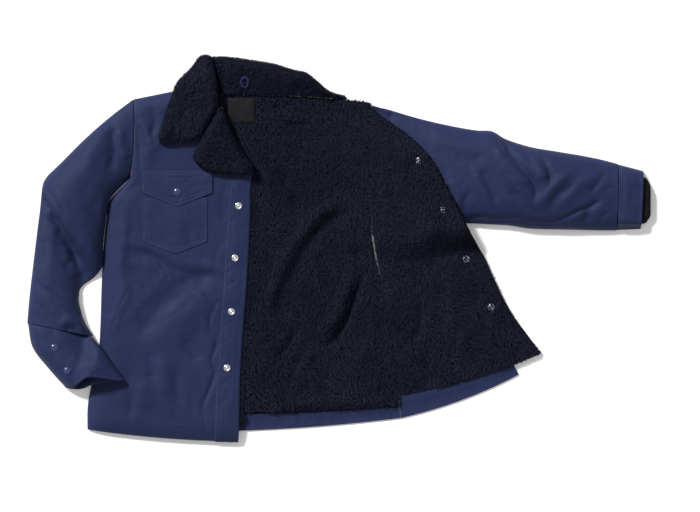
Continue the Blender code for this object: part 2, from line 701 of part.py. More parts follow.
def cuffs():
    """Both cuff bands and the knit cuffs inside them."""
    for side, band, knit, under, slope_from, knit_floor in (
        ("right", RIGHT_CUFF, RIGHT_KNIT, over_side, RIGHT_SLOPE_FROM, KNIT_FLOOR_RIGHT),
        ("left", LEFT_CUFF, LEFT_KNIT, on_floor, LEFT_SLOPE_FROM, KNIT_FLOOR_LEFT),
    ):
        rows = through(band, np.linspace(0, 1, 5))
        shape = (under, slope_from, CUFF_POINTS)
        outer = np.array([cuff_ring(row, 0.0, *shape) for row in rows])
        inner = np.array([cuff_ring(row, CUFF_WALL, *shape) for row in rows])
        if side == "right":
            outer[-1] = mouth_slant(outer[-1], rows[-1])
            inner[-1] = mouth_slant(inner[-1], rows[-1])
        tube("cuff_" + side, outer, inner, "navy_shell", NAVY_SHELL)

        rows = through(knit, np.linspace(0, 1, 3))
        shape = (under, slope_from, KNIT_POINTS)
        outer = np.array([cuff_ring(row, 0.0, *shape, RIB_HEIGHT) for row in rows])
        inner = np.array([cuff_ring(row, KNIT_WALL, *shape) for row in rows])
        outer, inner = raised(outer, knit_floor), raised(inner, knit_floor)
        tube("knit_cuff_" + side, outer, inner, "black_knit", BLACK_KNIT)


def chest_pocket(front):
    """The pocket bag and its pointed flap, laid on the front. Returns the flap's outer points."""
    part = np.linspace(0.0, 1.0, 7)
    point = 1.0 - np.abs(2.0 * part - 1.0)
    flap_corner, flap_tip = FLAP_TOP - FLAP_SIDE_DEPTH, FLAP_TOP - FLAP_POINT_DEPTH
    for name, left, right, top, corner, tip in (
        ("chest_pocket", POCKET_LEFT, POCKET_RIGHT, POCKET_TOP, POCKET_CORNER_Y, POCKET_POINT_Y),
        ("pocket_flap", FLAP_LEFT, FLAP_RIGHT, FLAP_TOP, flap_corner, flap_tip),
    ):
        x = np.broadcast_to(left + (right - left) * part, (6, 7))
        bottom = corner + (tip - corner) * point
        y = top + (bottom - top) * np.linspace(0.0, 1.0, 6)[:, None]
        z = highest_near(front, x, y, 7.0) + 0.45
        if name == "pocket_flap":
            z = z + (THIN_CLOTH + SEAM_GAP) * smoothstep((POCKET_TOP + 34.0 - y) / 26.0)
        base = np.stack([x, y, z], axis=2)
        outer = raised(base, THIN_CLOTH)
        shell_piece(name, base, outer)
    return outer


def trims(collar_top, lining_top):
    """The hanger loop on the collar and the bare label on the lining at the neck."""
    angles = np.linspace(0.0, 2 * math.pi, 17)[:-1]
    circle = np.column_stack([np.cos(angles), np.sin(angles)])
    plan = LOOP_CENTRE + circle * LOOP_HALF
    hole = LOOP_CENTRE + circle * LOOP_HOLE_HALF
    rest = height_on(collar_top, plan[:, 0], plan[:, 1])
    floor = float(rest.max()) + 0.4
    outer = np.array([np.column_stack([plan, np.full(16, floor + z)]) for z in (0.0, THIN_CLOTH)])
    inner = np.array([np.column_stack([hole, np.full(16, floor + z)]) for z in (0.0, THIN_CLOTH)])
    tube("hanger_loop", outer, inner, "navy_shell", NAVY_SHELL)

    across, down = np.linspace(LABEL_LEFT, LABEL_RIGHT, 4), np.linspace(LABEL_TOP, LABEL_BOTTOM, 4)
    x, y = np.meshgrid(across, down)
    z = height_on(lining_top, x, y)
    floor = float(z[np.isfinite(z)].max()) + SEAM_GAP
    base = np.stack([x, y, np.full_like(x, floor)], axis=2)
    slab("neck_label", base, raised(base, LABEL_THICKNESS), "bare_label", BARE_LABEL)


def snaps(front, flap, left_lining):
    """Open ring studs on the placket, sockets sunk in the left front's pile, and enamelled caps."""
    ring = ((SNAP_RADIUS, 0.0), (SNAP_RADIUS, 1.3), (5.9, 1.9), (4.4, 1.9), (3.8, 1.0), (2.0, 1.0))
    ring += ((1.6, 2.6),)
    cap = ((CAP_RADIUS, 0.0), (CAP_RADIUS, 0.8), (6.2, 2.1), (2.6, 2.7))
    socket = ((SNAP_RADIUS, 0.0), (SNAP_RADIUS, 1.0), (5.4, 1.6), (2.4, 1.6))
    spot = np.linspace(0.0, 2 * math.pi, 9)[:-1]

    def seat(surface, centre):
        x = centre[0] + np.append(7.5 * np.cos(spot), 0.0)
        y = centre[1] + np.append(7.5 * np.sin(spot), 0.0)
        z = height_on(surface, x, y)
        return float(z[np.isfinite(z)].max())

    over_placket = SEAM_GAP + THIN_CLOTH
    for number, centre in enumerate(PLACKET_SNAPS, 1):
        floor = seat(front, centre) + over_placket + SEAM_GAP
        turned(f"placket_snap_{number}", ring, centre, floor, 12, "silver_metal", SILVER_METAL)
    for number, centre in enumerate(LEFT_FRONT_SNAPS, 1):
        floor = seat(left_lining, centre) + SEAM_GAP
        turned(f"front_left_snap_{number}", socket, centre, floor, 12, "silver_metal", SILVER_METAL)
    floor = seat(flap, FLAP_SNAP) + SEAM_GAP
    turned("flap_snap", cap, FLAP_SNAP, floor, 12, "navy_enamel", NAVY_ENAMEL)
    for number, centre in enumerate(CUFF_SNAPS, 1):
        floor = cuff_top_at(centre) + SEAM_GAP
        turned(f"cuff_snap_{number}", cap, centre, floor, 12, "navy_enamel", NAVY_ENAMEL)


def cuff_top_at(centre):
    """The highest point of the right cuff's outer wall under a snap."""
    rows = through(RIGHT_CUFF, np.linspace(0, 1, 5))
    rings = [cuff_ring(row, 0.0, over_side, RIGHT_SLOPE_FROM, CUFF_POINTS) for row in rows]
    rings = np.array([ring[: CUFF_POINTS // 2 + 1] for ring in rings])
    spot = np.linspace(0.0, 2 * math.pi, 9)[:-1]
    x = centre[0] + np.append(7.5 * np.cos(spot), 0.0)
    y = centre[1] + np.append(7.5 * np.sin(spot), 0.0)
    z = height_on(rings, x, y)
    return float(z[np.isfinite(z)].max())


def main():
    clear_scene()
    front = right_front()
    lining_top = back()
    sleeve("right", RIGHT_SLEEVE, RIGHT_SLEEVE_FOLDS)
    sleeve("left", LEFT_SLEEVE, LEFT_SLEEVE_FOLDS)
    left_lining = left_front()
    collar_top = collar()
    cuffs()
    flap = chest_pocket(front)
    trims(collar_top, lining_top)
    snaps(front, flap, left_lining)


main()
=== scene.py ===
"""A navy ranch jacket with a pile lining, laid on its back with its left front thrown open.

Right and left are the wearer's. +X runs to the open left sleeve, +Y to the collar and +Z up. Shapes are
worked out in millimetres on the jacket's own table, and turned into metres when a mesh is made. A panel is
a grid of points between a left and a right edge, read from a short table of sections that run across it.
"""

import logging
import math
from dataclasses import dataclass
from enum import Enum

import bpy
import numpy as np
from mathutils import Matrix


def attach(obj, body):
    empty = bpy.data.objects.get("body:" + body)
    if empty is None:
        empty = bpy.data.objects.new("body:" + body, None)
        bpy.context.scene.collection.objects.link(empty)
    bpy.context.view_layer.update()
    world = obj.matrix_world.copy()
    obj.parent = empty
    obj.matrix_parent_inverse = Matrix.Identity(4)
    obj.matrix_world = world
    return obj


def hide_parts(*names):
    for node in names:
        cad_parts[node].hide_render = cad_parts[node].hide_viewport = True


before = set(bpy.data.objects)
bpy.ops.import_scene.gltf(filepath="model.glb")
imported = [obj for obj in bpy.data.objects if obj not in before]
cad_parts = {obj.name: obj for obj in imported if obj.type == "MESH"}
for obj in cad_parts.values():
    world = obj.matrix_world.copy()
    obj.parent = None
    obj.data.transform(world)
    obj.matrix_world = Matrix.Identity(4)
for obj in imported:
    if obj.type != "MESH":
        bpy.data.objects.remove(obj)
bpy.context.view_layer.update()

LOG = logging.getLogger("jacket")

Array = np.ndarray

MM = 0.001
TABLE_SHIFT = np.array([0.95, 2.85, 0.0])  # from the jacket's table to the shared frame

CLOTH = 2.0
THIN_CLOTH = 1.5
PILE = 9.0
SEAM_GAP = 0.3
HEM_DEPTH = 30.0
PLACKET_WIDTH = 47.0
PILE_REACH = 8.0
FRONT_RISE = 18.7
FRONT_FLOOR = CLOTH + SEAM_GAP
BACK_LINING_TOP = FRONT_FLOOR + PILE
COLLAR_FLOOR = FRONT_FLOOR + FRONT_RISE + CLOTH + 0.4
LEAF_FLOOR = COLLAR_FLOOR + THIN_CLOTH + SEAM_GAP


class Side(Enum):
    """Which of the wearer's sides a sleeve or cuff is on."""

    RIGHT = "right"
    LEFT = "left"


# ---- sections: left_x, left_y, right_x, right_y, bow, and on sleeves and cuffs the height
RIGHT_FRONT = (
    (-410, 296, -254, 328, 0),
    (-408.2, 268, -248, 288, 0),
    (-407.7, 228, -222, 240, 0),
    (-409.2, 196, -194, 192, 0),
    (-412.4, 164, -176, 158, 0),
    (-416, 140, -177, 132, 0),
    (-434, 120, -178, 104, 0),
    (-456, 96, -178, 80, 0),
    (-464, 56, -179, 44, 0),
    (-470, -4, -182, -16, 0),
    (-474, -88, -187, -96, 0),
    (-476, -154, -192, -156, 0),
    (-479, -204, -195, -202, 0),
    (-492, -264, -199, -274, 0),
    (-501, -314, -200, -328, -2),
    (-502, -362, -202, -386, -5),
)
BACK = (
    (-410, 294, 64, 290, 13),
    (-408.2, 268, 65, 262, 6),
    (-407.7, 228, 65, 222, 2),
    (-412.4, 164, 65, 160, 0),
    (-416, 140, 65, 136, 0),
    (-434, 120, 65, 116, 0),
    (-456, 96, 65, 90, 0),
    (-464, 56, 65, 46, 0),
    (-466.8, 32, 65.2, 22, 0),
    (-470, -4, 70, -8, 0),
    (-474, -88, 92, -92, 0),
    (-476, -154, 105, -154, 0),
    (-479, -204, 112, -196, 0),
    (-492, -264, 118, -264, 0),
    (-501, -314, 121, -310, -8),
    (-502, -362, 122, -340, -14),
)
LEFT_FRONT = (
    (66, 280, 86, 262, 0),
    (66, 236, 138, 226, 0),
    (66, 196, 182, 182, 0),
    (66, 156, 214, 124, 0),
    (66, 116, 232, 90, 0),
    (66, 72, 258, 40, 0),
    (70.6, 26, 290, -16, 0),
    (79, -28, 308, -56, 0),
    (93, -92, 334, -110, 0),
    (104.6, -148, 356, -146, 0),
    (112.8, -196, 380, -178, -3),
    (119, -264, 398, -202, -8),
    (123, -340, 414, -222, -13),
)
COLLAR_LEAF = (
    (-280, 380, -256, 380, 3),
    (-298, 356, -249, 352, 0),
    (-322, 332, -245, 324, 0),
    (-334, 304, -243, 300, 0),
    (-344, 276, -244, 280, 0),
    (-352, 250, -259, 255, 0),
    (-360, 222, -273, 230, 0),
    (-356, 205, -281, 215, -2),
)
COLLAR_BACK = (
    (-253, 383, -241, 307, 0),
    (-222, 382, -218, 307, 0),
    (-178, 376, -178, 307, 0),
    (-122, 366, -122, 306.4, 0),
    (-92, 356, -86, 305, 0),
    (-66, 350, -62, 304, 0),
    (-46, 334, -42, 303, 0),
    (-22, 314, -18, 301.4, 0),
    (8, 303, 13, 298.6, 0),
)
LAPEL = (
    (-244, 275, -233, 278, 0),
    (-261, 242, -221, 242, 0),
    (-278, 208, -207, 210, 0),
    (-291, 184, -190, 184, 0),
    (-281, 166, -175, 162, -2),
    (-262, 154, -172, 144, -3),
)
RIGHT_SLEEVE = (
    (-411.0, 296, -417.6, 141, 4.5, 16),
    (-458, 260, -437, 122.5, 0, 26),
    (-508, 216, -458.5, 96.5, 0, 36),
    (-554, 170, -466.5, 57, 0, 42),
    (-584, 140, -472, 9, 0, 44),
    (-592, 120, -476, -41, 0, 40),
    (-594, 106, -488, -56, 0, 23),
    (-596, 80, -514, -76, 0, 20),
    (-602, 32, -521, -98, 0, 25),
    (-610, -34, -516, -128, 0, 30),
    (-618, -104, -506, -154, 0, 31),
    (-622, -150, -492, -176, 0, 30),
)
LEFT_SLEEVE = (
    (66, 285, 66, 26, 0, 5),
    (106, 274, 106, 24, 0, 9),
    (138, 264, 140, 32, 0, 14),
    (200, 248, 200, 44, 0, 26),
    (276, 234, 262, 50, 0, 37),
    (306, 232, 302, 48, 0, 41),
    (330, 218, 338, 46, 0, 43),
    (378, 202, 378, 40, 0, 44),
    (434, 192, 434, 38, 0, 42),
    (482, 184, 482, 37, 0, 38),
    (522, 176, 522, 36, 0, 33),
    (557, 167, 555, 36, 0, 28),
)
RIGHT_CUFF = (
    (-622.2, -150.6, -492.1, -176.6, 0, 33),
    (-612, -200, -464, -212, 0, 38),
    (-580, -242, -444, -240, 0, 40),
    (-546, -280, -426, -264, 0, 36),
)
LEFT_CUFF = (
    (558, 167, 556, 36, 0, 31),
    (584, 160.5, 580, 37, 0, 30),
    (608, 154, 603, 38, 0, 27),
)
RIGHT_KNIT = (
    (-596, -196, -508, -208, 0, 23),
    (-574, -224, -496, -234, 0, 23),
    (-553, -250, -486, -256, 0, 22),
)
LEFT_KNIT = (
    (580, 152, 580, 44, 0, 17),
    (604, 144, 602, 48, 0, 17),
    (617, 136, 615, 52, 0, 16),
    (622, 126, 622, 62, 0, 14),
)


def smoothstep(value: Array) -> Array:
    """3v^2 - 2v^3, held from 0 to 1."""
    held = np.clip(value, 0.0, 1.0)
    return held * held * (3.0 - 2.0 * held)


def rounded(distance: Array, reach: float | Array) -> Array:
    """A quarter ellipse: 0 at an edge, 1 from reach inwards."""
    inward = np.clip(np.asarray(distance) / reach, 0.0, 1.0)
    return np.sqrt(1.0 - (1.0 - inward) ** 2)


def unit(vectors: Array) -> Array:
    """The vectors, each divided by its length."""
    return vectors / np.maximum(np.linalg.norm(vectors, axis=-1, keepdims=True), 1e-9)


def through(table: tuple, places: Array) -> Array:
    """Rows of a cubic Hermite curve through the table's rows.

    Args:
        table: rows of numbers, the first four of them two corners.
        places: from 0 to 1 along the middle line between the corners.

    Returns:
        One row for each place.
    """
    rows = np.asarray(table, float)
    middle = (rows[:, 0:2] + rows[:, 2:4]) / 2.0
    knots = np.concatenate([[0.0], np.cumsum(np.linalg.norm(np.diff(middle, axis=0), axis=1))])
    slopes = np.gradient(rows, knots, axis=0)
    at = np.asarray(places) * knots[-1]
    index = np.clip(np.searchsorted(knots, at, side="right") - 1, 0, len(rows) - 2)
    span = (knots[index + 1] - knots[index])[:, None]
    part = (at - knots[index])[:, None] / span
    return (
        rows[index] * (1 + 2 * part) * (1 - part) ** 2
        + rows[index + 1] * part**2 * (3 - 2 * part)
        + slopes[index] * span * part * (1 - part) ** 2
        - slopes[index + 1] * span * part**2 * (1 - part)
    )


def length_of(table: tuple) -> float:
    """The length of a table's middle line."""
    rows = np.asarray(table, float)
    middle = (rows[:, 0:2] + rows[:, 2:4]) / 2.0
    return float(np.linalg.norm(np.diff(middle, axis=0), axis=1).sum())


def smooth_path(path: tuple, step: float) -> Array:
    """Points every step along a smooth curve through a path's points."""
    points = np.asarray(path, float)
    knots = np.concatenate([[0.0], np.cumsum(np.linalg.norm(np.diff(points, axis=0), axis=1))])
    at = np.linspace(0.0, knots[-1], max(int(knots[-1] / step), 2) + 1)
    if len(points) == 2:
        return points[0] + (points[1] - points[0]) * (at / knots[-1])[:, None]
    slopes = np.gradient(points, knots, axis=0)
    index = np.clip(np.searchsorted(knots, at, side="right") - 1, 0, len(points) - 2)
    span = (knots[index + 1] - knots[index])[:, None]
    part = (at - knots[index])[:, None] / span
    return (
        points[index] * (1 + 2 * part) * (1 - part) ** 2
        + points[index + 1] * part**2 * (3 - 2 * part)
        + slopes[index] * span * part * (1 - part) ** 2
        - slopes[index + 1] * span * part**2 * (1 - part)
    )


class Ripple:
    """Smooth value noise: a seeded lattice of numbers from -1 to 1, blended with smoothstep between them."""

    def __init__(self, seed: int, size: float) -> None:
        """Args:
        seed: of the lattice.
        size: of one cell, in millimetres.
        """
        self.lattice = np.random.default_rng(seed).uniform(-1.0, 1.0, (128, 128))
        self.size = size

    def at(self, x: Array, y: Array) -> Array:
        """The noise at each point."""
        u, v = x / self.size + 31.7, y / self.size + 47.3
        i, j = np.floor(u).astype(int), np.floor(v).astype(int)
        s, t = smoothstep(u - i), smoothstep(v - j)
        near, far = i % 128, (i + 1) % 128
        low, high = j % 128, (j + 1) % 128
        lower = self.lattice[near, low] * (1 - s) + self.lattice[far, low] * s
        upper = self.lattice[near, high] * (1 - s) + self.lattice[far, high] * s
        return lower * (1 - t) + upper * t


UNEVEN = Ripple(5, 26.0)


@dataclass(frozen=True)
class Crease:
    """A soft fold along a path: a bell curve across it, with one side raised by its lean."""

    half_width: float
    height: float
    path: tuple
    lean: float = 0.0

    def height_at(self, x: Array, y: Array) -> Array:
        """(height + lean * s) * exp(-s^2), where s is the distance to the path's left over the half width."""
        points = smooth_path(self.path, 9.0)
        start, run = points[:-1], np.diff(points, axis=0)
        nearest, signed, along = np.full(x.shape, np.inf), np.zeros(x.shape), np.zeros(x.shape)
        for number, ((ax, ay), (dx, dy)) in enumerate(zip(start, run)):
            part = np.clip(((x - ax) * dx + (y - ay) * dy) / (dx * dx + dy * dy), 0, 1)
            off_x, off_y = x - ax - part * dx, y - ay - part * dy
            distance = np.hypot(off_x, off_y)
            closer = distance < nearest
            nearest = np.where(closer, distance, nearest)
            signed = np.where(closer, (dx * off_y - dy * off_x) / math.hypot(dx, dy), signed)
            along = np.where(closer, (number + part) / len(run), along)
        ends = smoothstep((along + 0.12) / 0.3) * smoothstep((1.12 - along) / 0.3)
        wide = self.half_width * (1.0 + 0.25 * UNEVEN.at(x * 1.7, y * 1.7))
        s = signed / wide
        bell = np.exp(-((nearest / wide) ** 2))
        return (self.height * (1.0 + 0.3 * UNEVEN.at(x, y)) + self.lean * 1.8 * s) * bell * ends


def folded(creases: tuple, x: Array, y: Array) -> Array:
    """The sum of the creases' heights."""
    total = np.zeros(x.shape)
    for crease in creases:
        total += crease.height_at(x, y)
    return total


class Plan:
    """A panel's points seen from above, with the distance of each from the panel's four edges."""

    EDGE = (0.0, 0.7, 1.6, 3.2)

    def __init__(self, table: tuple, step: float, inset: float = 0.0) -> None:
        """Args:
        table: the panel's sections.
        step: the largest distance between points.
        inset: how far the whole plan is drawn in from its edges.
        """
        near = np.asarray(self.EDGE)
        total = length_of(table)
        places = self.spread(np.array([total - 2 * inset]), near, step)[0] + inset
        rows = through(table, places / total)
        start, end, bow = rows[:, 0:2], rows[:, 2:4], rows[:, 4]
        width = np.linalg.norm(end - start, axis=1)
        across = unit(end - start)
        gaps = self.spread(width - 2 * inset, near, step)
        held = gaps + inset
        part = held / width[:, None]
        side = np.column_stack([-across[:, 1], across[:, 0]])
        points = start[:, None] + across[:, None] * held[:, :, None]
        points = points + side[:, None] * (bow[:, None] * 4 * part * (1 - part))[:, :, None]
        self.x, self.y = points[:, :, 0], points[:, :, 1]
        self.left, self.right = gaps, (width - 2 * inset)[:, None] - gaps
        self.start = np.broadcast_to((places - inset)[:, None], self.x.shape)
        self.end = total - 2 * inset - self.start
        self.height = np.broadcast_to(rows[:, -1][:, None], self.x.shape)

    def drawn_in(self, left: float, end: float = 0.0) -> "Plan":
        """Draws the left edge in by left and the last row back by end, and the rest less and less."""
        share = self.left / (self.left + self.right)
        run_x, run_y = self.x[:, -1:] - self.x[:, :1], self.y[:, -1:] - self.y[:, :1]
        width = np.hypot(run_x, run_y)
        back_x, back_y = -np.gradient(self.x, axis=0), -np.gradient(self.y, axis=0)
        long = np.hypot(back_x, back_y)
        late = end * smoothstep(1.0 - self.end / 24.0)
        self.x = self.x + run_x / width * left * (1.0 - share) + back_x / long * late
        self.y = self.y + run_y / width * left * (1.0 - share) + back_y / long * late
        return self

    @staticmethod
    def spread(totals: Array, near: Array, step: float) -> Array:
        """Distances along each total: close together near both ends, and even between them."""
        count = max(int(np.ceil((totals.max() - 2 * near[-1]) / step)), 2)
        inner = np.linspace(0.0, 1.0, count + 1)[1:-1]
        middle = near[-1] + (totals - 2 * near[-1])[:, None] * inner
        first = np.broadcast_to(near, (len(totals), len(near)))
        return np.concatenate([first, middle, totals[:, None] - near[::-1]], axis=1)

    def at(self, z: float | Array) -> Array:
        """The plan's points, with the heights z."""
        return np.stack([self.x, self.y, np.broadcast_to(z, self.x.shape)], axis=2)

    def edge(self) -> Array:
        """The distance from the nearest edge."""
        across = np.minimum(self.left, self.right)
        return np.minimum(across, np.minimum(self.start, self.end))


def normals(points: Array) -> Array:
    """The upward normals of a grid of points."""
    found = unit(np.cross(np.gradient(points, axis=0), np.gradient(points, axis=1)))
    return found * np.where(found[:, :, 2:3] < 0, -1.0, 1.0)


def moved_out(points: Array, distance: float | Array) -> Array:
    """The grid of points, each moved along its upward normal."""
    return points + normals(points) * (np.zeros(points.shape[:2]) + distance)[:, :, None]


def raised(points: Array, distance: float | Array) -> Array:
    """The grid of points, moved straight up."""
    moved = points.copy()
    moved[:, :, 2] += distance
    return moved


class Surface:
    """A grid of points whose height can be read at any place on it."""

    def __init__(self, points: Array) -> None:
        """Args:
        points: rows and columns of points.
        """
        self.points = points
        a, b = np.gradient(points, axis=0), np.gradient(points, axis=1)
        area = a[:, :, 0] * b[:, :, 1] - a[:, :, 1] * b[:, :, 0]
        area = np.where(np.abs(area) < 1e-6, 1e-6, area)
        self.slope_x = (a[:, :, 2] * b[:, :, 1] - b[:, :, 2] * a[:, :, 1]) / area
        self.slope_y = (b[:, :, 2] * a[:, :, 0] - a[:, :, 2] * b[:, :, 0]) / area

    def height(self, x: Array, y: Array) -> Array:
        """The height at each place: the nearest point's, plus its slope times the way from it."""
        shape, jump = np.shape(x), 6
        x, y = np.ravel(x), np.ravel(y)
        rows, columns = self.points.shape[:2]
        coarse = self.points[::jump, ::jump]
        gap = (x[:, None, None] - coarse[:, :, 0]) ** 2 + (y[:, None, None] - coarse[:, :, 1]) ** 2
        best = gap.reshape(len(x), -1).argmin(axis=1)
        i, j = (best // coarse.shape[1]) * jump, (best % coarse.shape[1]) * jump
        off = np.arange(-jump, jump + 1)
        near_i = np.clip(i[:, None] + off, 0, rows - 1)[:, :, None] + np.zeros(len(off), int)
        near_j = np.clip(j[:, None] + off, 0, columns - 1)[:, None, :] + np.zeros((len(off), 1), int)
        around = self.points[near_i, near_j]
        gap = (around[..., 0] - x[:, None, None]) ** 2 + (around[..., 1] - y[:, None, None]) ** 2
        best = gap.reshape(len(x), -1).argmin(axis=1)
        who = np.arange(len(x))
        i, j = near_i.reshape(len(x), -1)[who, best], near_j.reshape(len(x), -1)[who, best]
        found = self.points[i, j]
        z = found[:, 2] + self.slope_x[i, j] * (x - found[:, 0]) + self.slope_y[i, j] * (y - found[:, 1])
        return z.reshape(shape)


class Wire:
    """A shader socket that adds a Math node for each operator used on it."""

    def __init__(self, paint: "Paint", socket: bpy.types.NodeSocket) -> None:
        """Args:
        paint: the material that the socket is in.
        socket: an output.
        """
        self.paint, self.socket = paint, socket

    def math(self, operation: str, *others: "Wire | float", flip: bool = False) -> "Wire":
        """One Math node on this socket and the others."""
        terms = (*others, self) if flip else (self, *others)
        node = self.paint.node("ShaderNodeMath", {"operation": operation}, dict(enumerate(terms)))
        return self.paint.out(node)

    def __add__(self, other: "Wire | float") -> "Wire":
        """This plus the other."""
        return self.math("ADD", other)

    def __sub__(self, other: "Wire | float") -> "Wire":
        """This less the other."""
        return self.math("SUBTRACT", other)

    def __rsub__(self, other: float) -> "Wire":
        """The other less this."""
        return self.math("SUBTRACT", other, flip=True)

    def __mul__(self, other: "Wire | float") -> "Wire":
        """This times the other."""
        return self.math("MULTIPLY", other)

    __radd__, __rmul__ = __add__, __mul__


class Paint:
    """A material with one Principled shader, and short ways to add nodes to it."""

    def __init__(self, name: str, constants: dict) -> None:
        """Args:
        name: of the material.
        constants: values of the shader's own sockets.
        """
        self.material = bpy.data.materials.new(name)
        self.material.use_nodes = True
        self.tree = self.material.node_tree
        self.shader = self.tree.nodes["Principled BSDF"]
        for key, value in constants.items():
            self.shader.inputs[key].default_value = value

    def node(self, kind: str, settings: dict, values: dict) -> bpy.types.Node:
        """Adds a node.

        Args:
            kind: its type.
            settings: its own properties, set first; stops is a ramp's list of places and colours.
            values: a number, a colour or a Wire for each socket, by name or number.

        Returns:
            The node.
        """
        made = self.tree.nodes.new(kind)
        for key, value in settings.items():
            if key == "stops":
                ramp = made.color_ramp
                while len(ramp.elements) < len(value):
                    ramp.elements.new(0.5)
                for element, (place, colour) in zip(ramp.elements, value):
                    element.position, element.color = place, (*colour, 1.0)
            else:
                setattr(made, key, value)
        for key, value in values.items():
            if isinstance(value, Wire):
                self.tree.links.new(value.socket, made.inputs[key])
            else:
                made.inputs[key].default_value = value
        return made

    def out(self, node: bpy.types.Node, key: int | str = 0) -> Wire:
        """One of a node's outputs."""
        return Wire(self, node.outputs[key])

    def noise(self, place: Wire, scale: float, detail: float = 2.0, rough: float = 0.5) -> Wire:
        """A Noise texture's height at the places given."""
        values = {"Vector": place, "Scale": scale, "Detail": detail, "Roughness": rough}
        return self.out(self.node("ShaderNodeTexNoise", {}, values), "Fac")

    def blend(self, factor: Wire | float, low: tuple, high: tuple) -> Wire:
        """A colour between two."""
        settings = {"data_type": "RGBA", "clamp_factor": True}
        return self.out(self.node("ShaderNodeMix", settings, {0: factor, 6: (*low, 1.0), 7: (*high, 1.0)}), 2)

    def bump(self, height: Wire, distance: float, strength: float = 1.0, over: Wire | None = None) -> Wire:
        """A Bump node's normal; distance is in millimetres."""
        values = {"Height": height, "Distance": distance * MM, "Strength": strength}
        if over:
            values["Normal"] = over
        return self.out(self.node("ShaderNodeBump", {}, values))

    def object_place(self) -> Wire:
        """Object coordinates, in metres."""
        return self.out(self.node("ShaderNodeTexCoord", {}, {}), "Object")

    def cloth_place(self) -> tuple[Wire, Wire, Wire]:
        """The cloth's own map in metres: the place, and its two numbers."""
        place = self.out(self.node("ShaderNodeUVMap", {"uv_map": "cloth"}, {}))
        parts = self.node("ShaderNodeSeparateXYZ", {}, {"Vector": place})
        return place, self.out(parts, "X"), self.out(parts, "Y")

    def own(self, name: str) -> Wire:
        """One of the mesh's attributes, as a number."""
        return self.out(self.node("ShaderNodeAttribute", {"attribute_name": name}, {}), "Fac")

    def join(self, wire: Wire, socket: str) -> None:
        """Links a wire to the shader."""
        self.tree.links.new(wire.socket, self.shader.inputs[socket])


@dataclass(frozen=True)
class ShellCloth:
    """Tightly woven navy shell cloth: fine threads, faint crinkles, and paler where it is turned or rubbed."""

    name: str = "navy_shell_cloth"
    deep: tuple = (0.0120, 0.0172, 0.0540)
    lit: tuple = (0.0162, 0.0225, 0.0665)
    rubbed: tuple = (0.026, 0.034, 0.088)
    thread: float = 0.75  # millimetres between threads
    rough: float = 0.6

    def material(self) -> bpy.types.Material:
        """Returns: the finished material."""
        constants = {"Specular IOR Level": 0.10, "Sheen Weight": 0.02, "Sheen Roughness": 0.4}
        paint = Paint(self.name, constants)
        place = paint.object_place()
        _, u, v = paint.cloth_place()
        cloudy = paint.noise(place, 11.0, 4.0)
        colour = paint.blend(cloudy * 1.6 - 0.3, self.deep, self.lit)
        wear = paint.own("wear") * (paint.noise(place, 160.0, 3.0) * 1.3 + 0.1)
        settings = {"data_type": "RGBA", "clamp_factor": True}
        values = {0: wear * 0.55, 6: colour, 7: (*self.rubbed, 1.0)}
        paint.join(paint.out(paint.node("ShaderNodeMix", settings, values), 2), "Base Color")
        turn = 2 * math.pi / (self.thread * MM)
        weave = (u * turn).math("SINE") * (v * turn).math("SINE")
        fine = paint.bump(weave * 0.5 + 0.5, 0.05, 0.5)
        crinkle = paint.noise(place, 130.0, 5.0, 0.6)
        rolling = paint.noise(place, 34.0, 3.0)
        middle = paint.bump(crinkle, 0.9, 0.35, fine)
        paint.join(paint.bump(rolling, 3.2, 0.35, middle), "Normal")
        paint.join(paint.noise(place, 60.0, 3.0) * 0.16 + (self.rough - 0.08), "Roughness")
        return paint.material


@dataclass(frozen=True)
class PileGround:
    """The knitted ground of the pile and the roots of its tufts, painted as dark as the roots: painted shade under the
    pile.
    """

    name: str = "navy_pile_ground"
    # deep and lit are painted shade under the tufts; the clump noise that raises the bump also picks lit, painted
    # light on the raised clumps
    deep: tuple = (0.0014, 0.0018, 0.0046)
    lit: tuple = (0.0055, 0.0066, 0.0150)

    def material(self) -> bpy.types.Material:
        """Returns: the finished material."""
        paint = Paint(self.name, {"Specular IOR Level": 0.02})
        place = paint.object_place()
        clumps = paint.noise(place, 210.0, 5.0, 0.65)
        paint.join(paint.blend(clumps * 1.8 - 0.4, self.deep, self.lit), "Base Color")
        paint.join(paint.bump(clumps, 3.0, 0.8), "Normal")
        paint.join(paint.noise(place, 90.0) * 0.2 + 0.75, "Roughness")
        return paint.material


@dataclass(frozen=True)
class PileTuft:
    """Navy pile tufts, with painted shade: nearly black at the root, deep in the pile, and paler and greyer at the
    tip.
    """

    name: str = "navy_pile_tuft"
    # root is painted shade deep in the pile; tip is the fibres' own colour
    root: tuple = (0.0014, 0.0018, 0.0050)
    tip: tuple = (0.0125, 0.0145, 0.0290)

    def material(self) -> bpy.types.Material:
        """Returns: the finished material."""
        constants = {"Specular IOR Level": 0.05, "Sheen Weight": 0.0}
        paint = Paint(self.name, constants)
        # the mesh's number for each point: painted shade from root to tip, times a random lightness, here varied by
        # noise
        tone = paint.own("tone") * (paint.noise(paint.object_place(), 14.0, 3.0) * 0.9 + 0.55)
        paint.join(paint.blend(tone, self.root, self.tip), "Base Color")
        paint.join(tone * -0.15 + 0.72, "Roughness")
        return paint.material


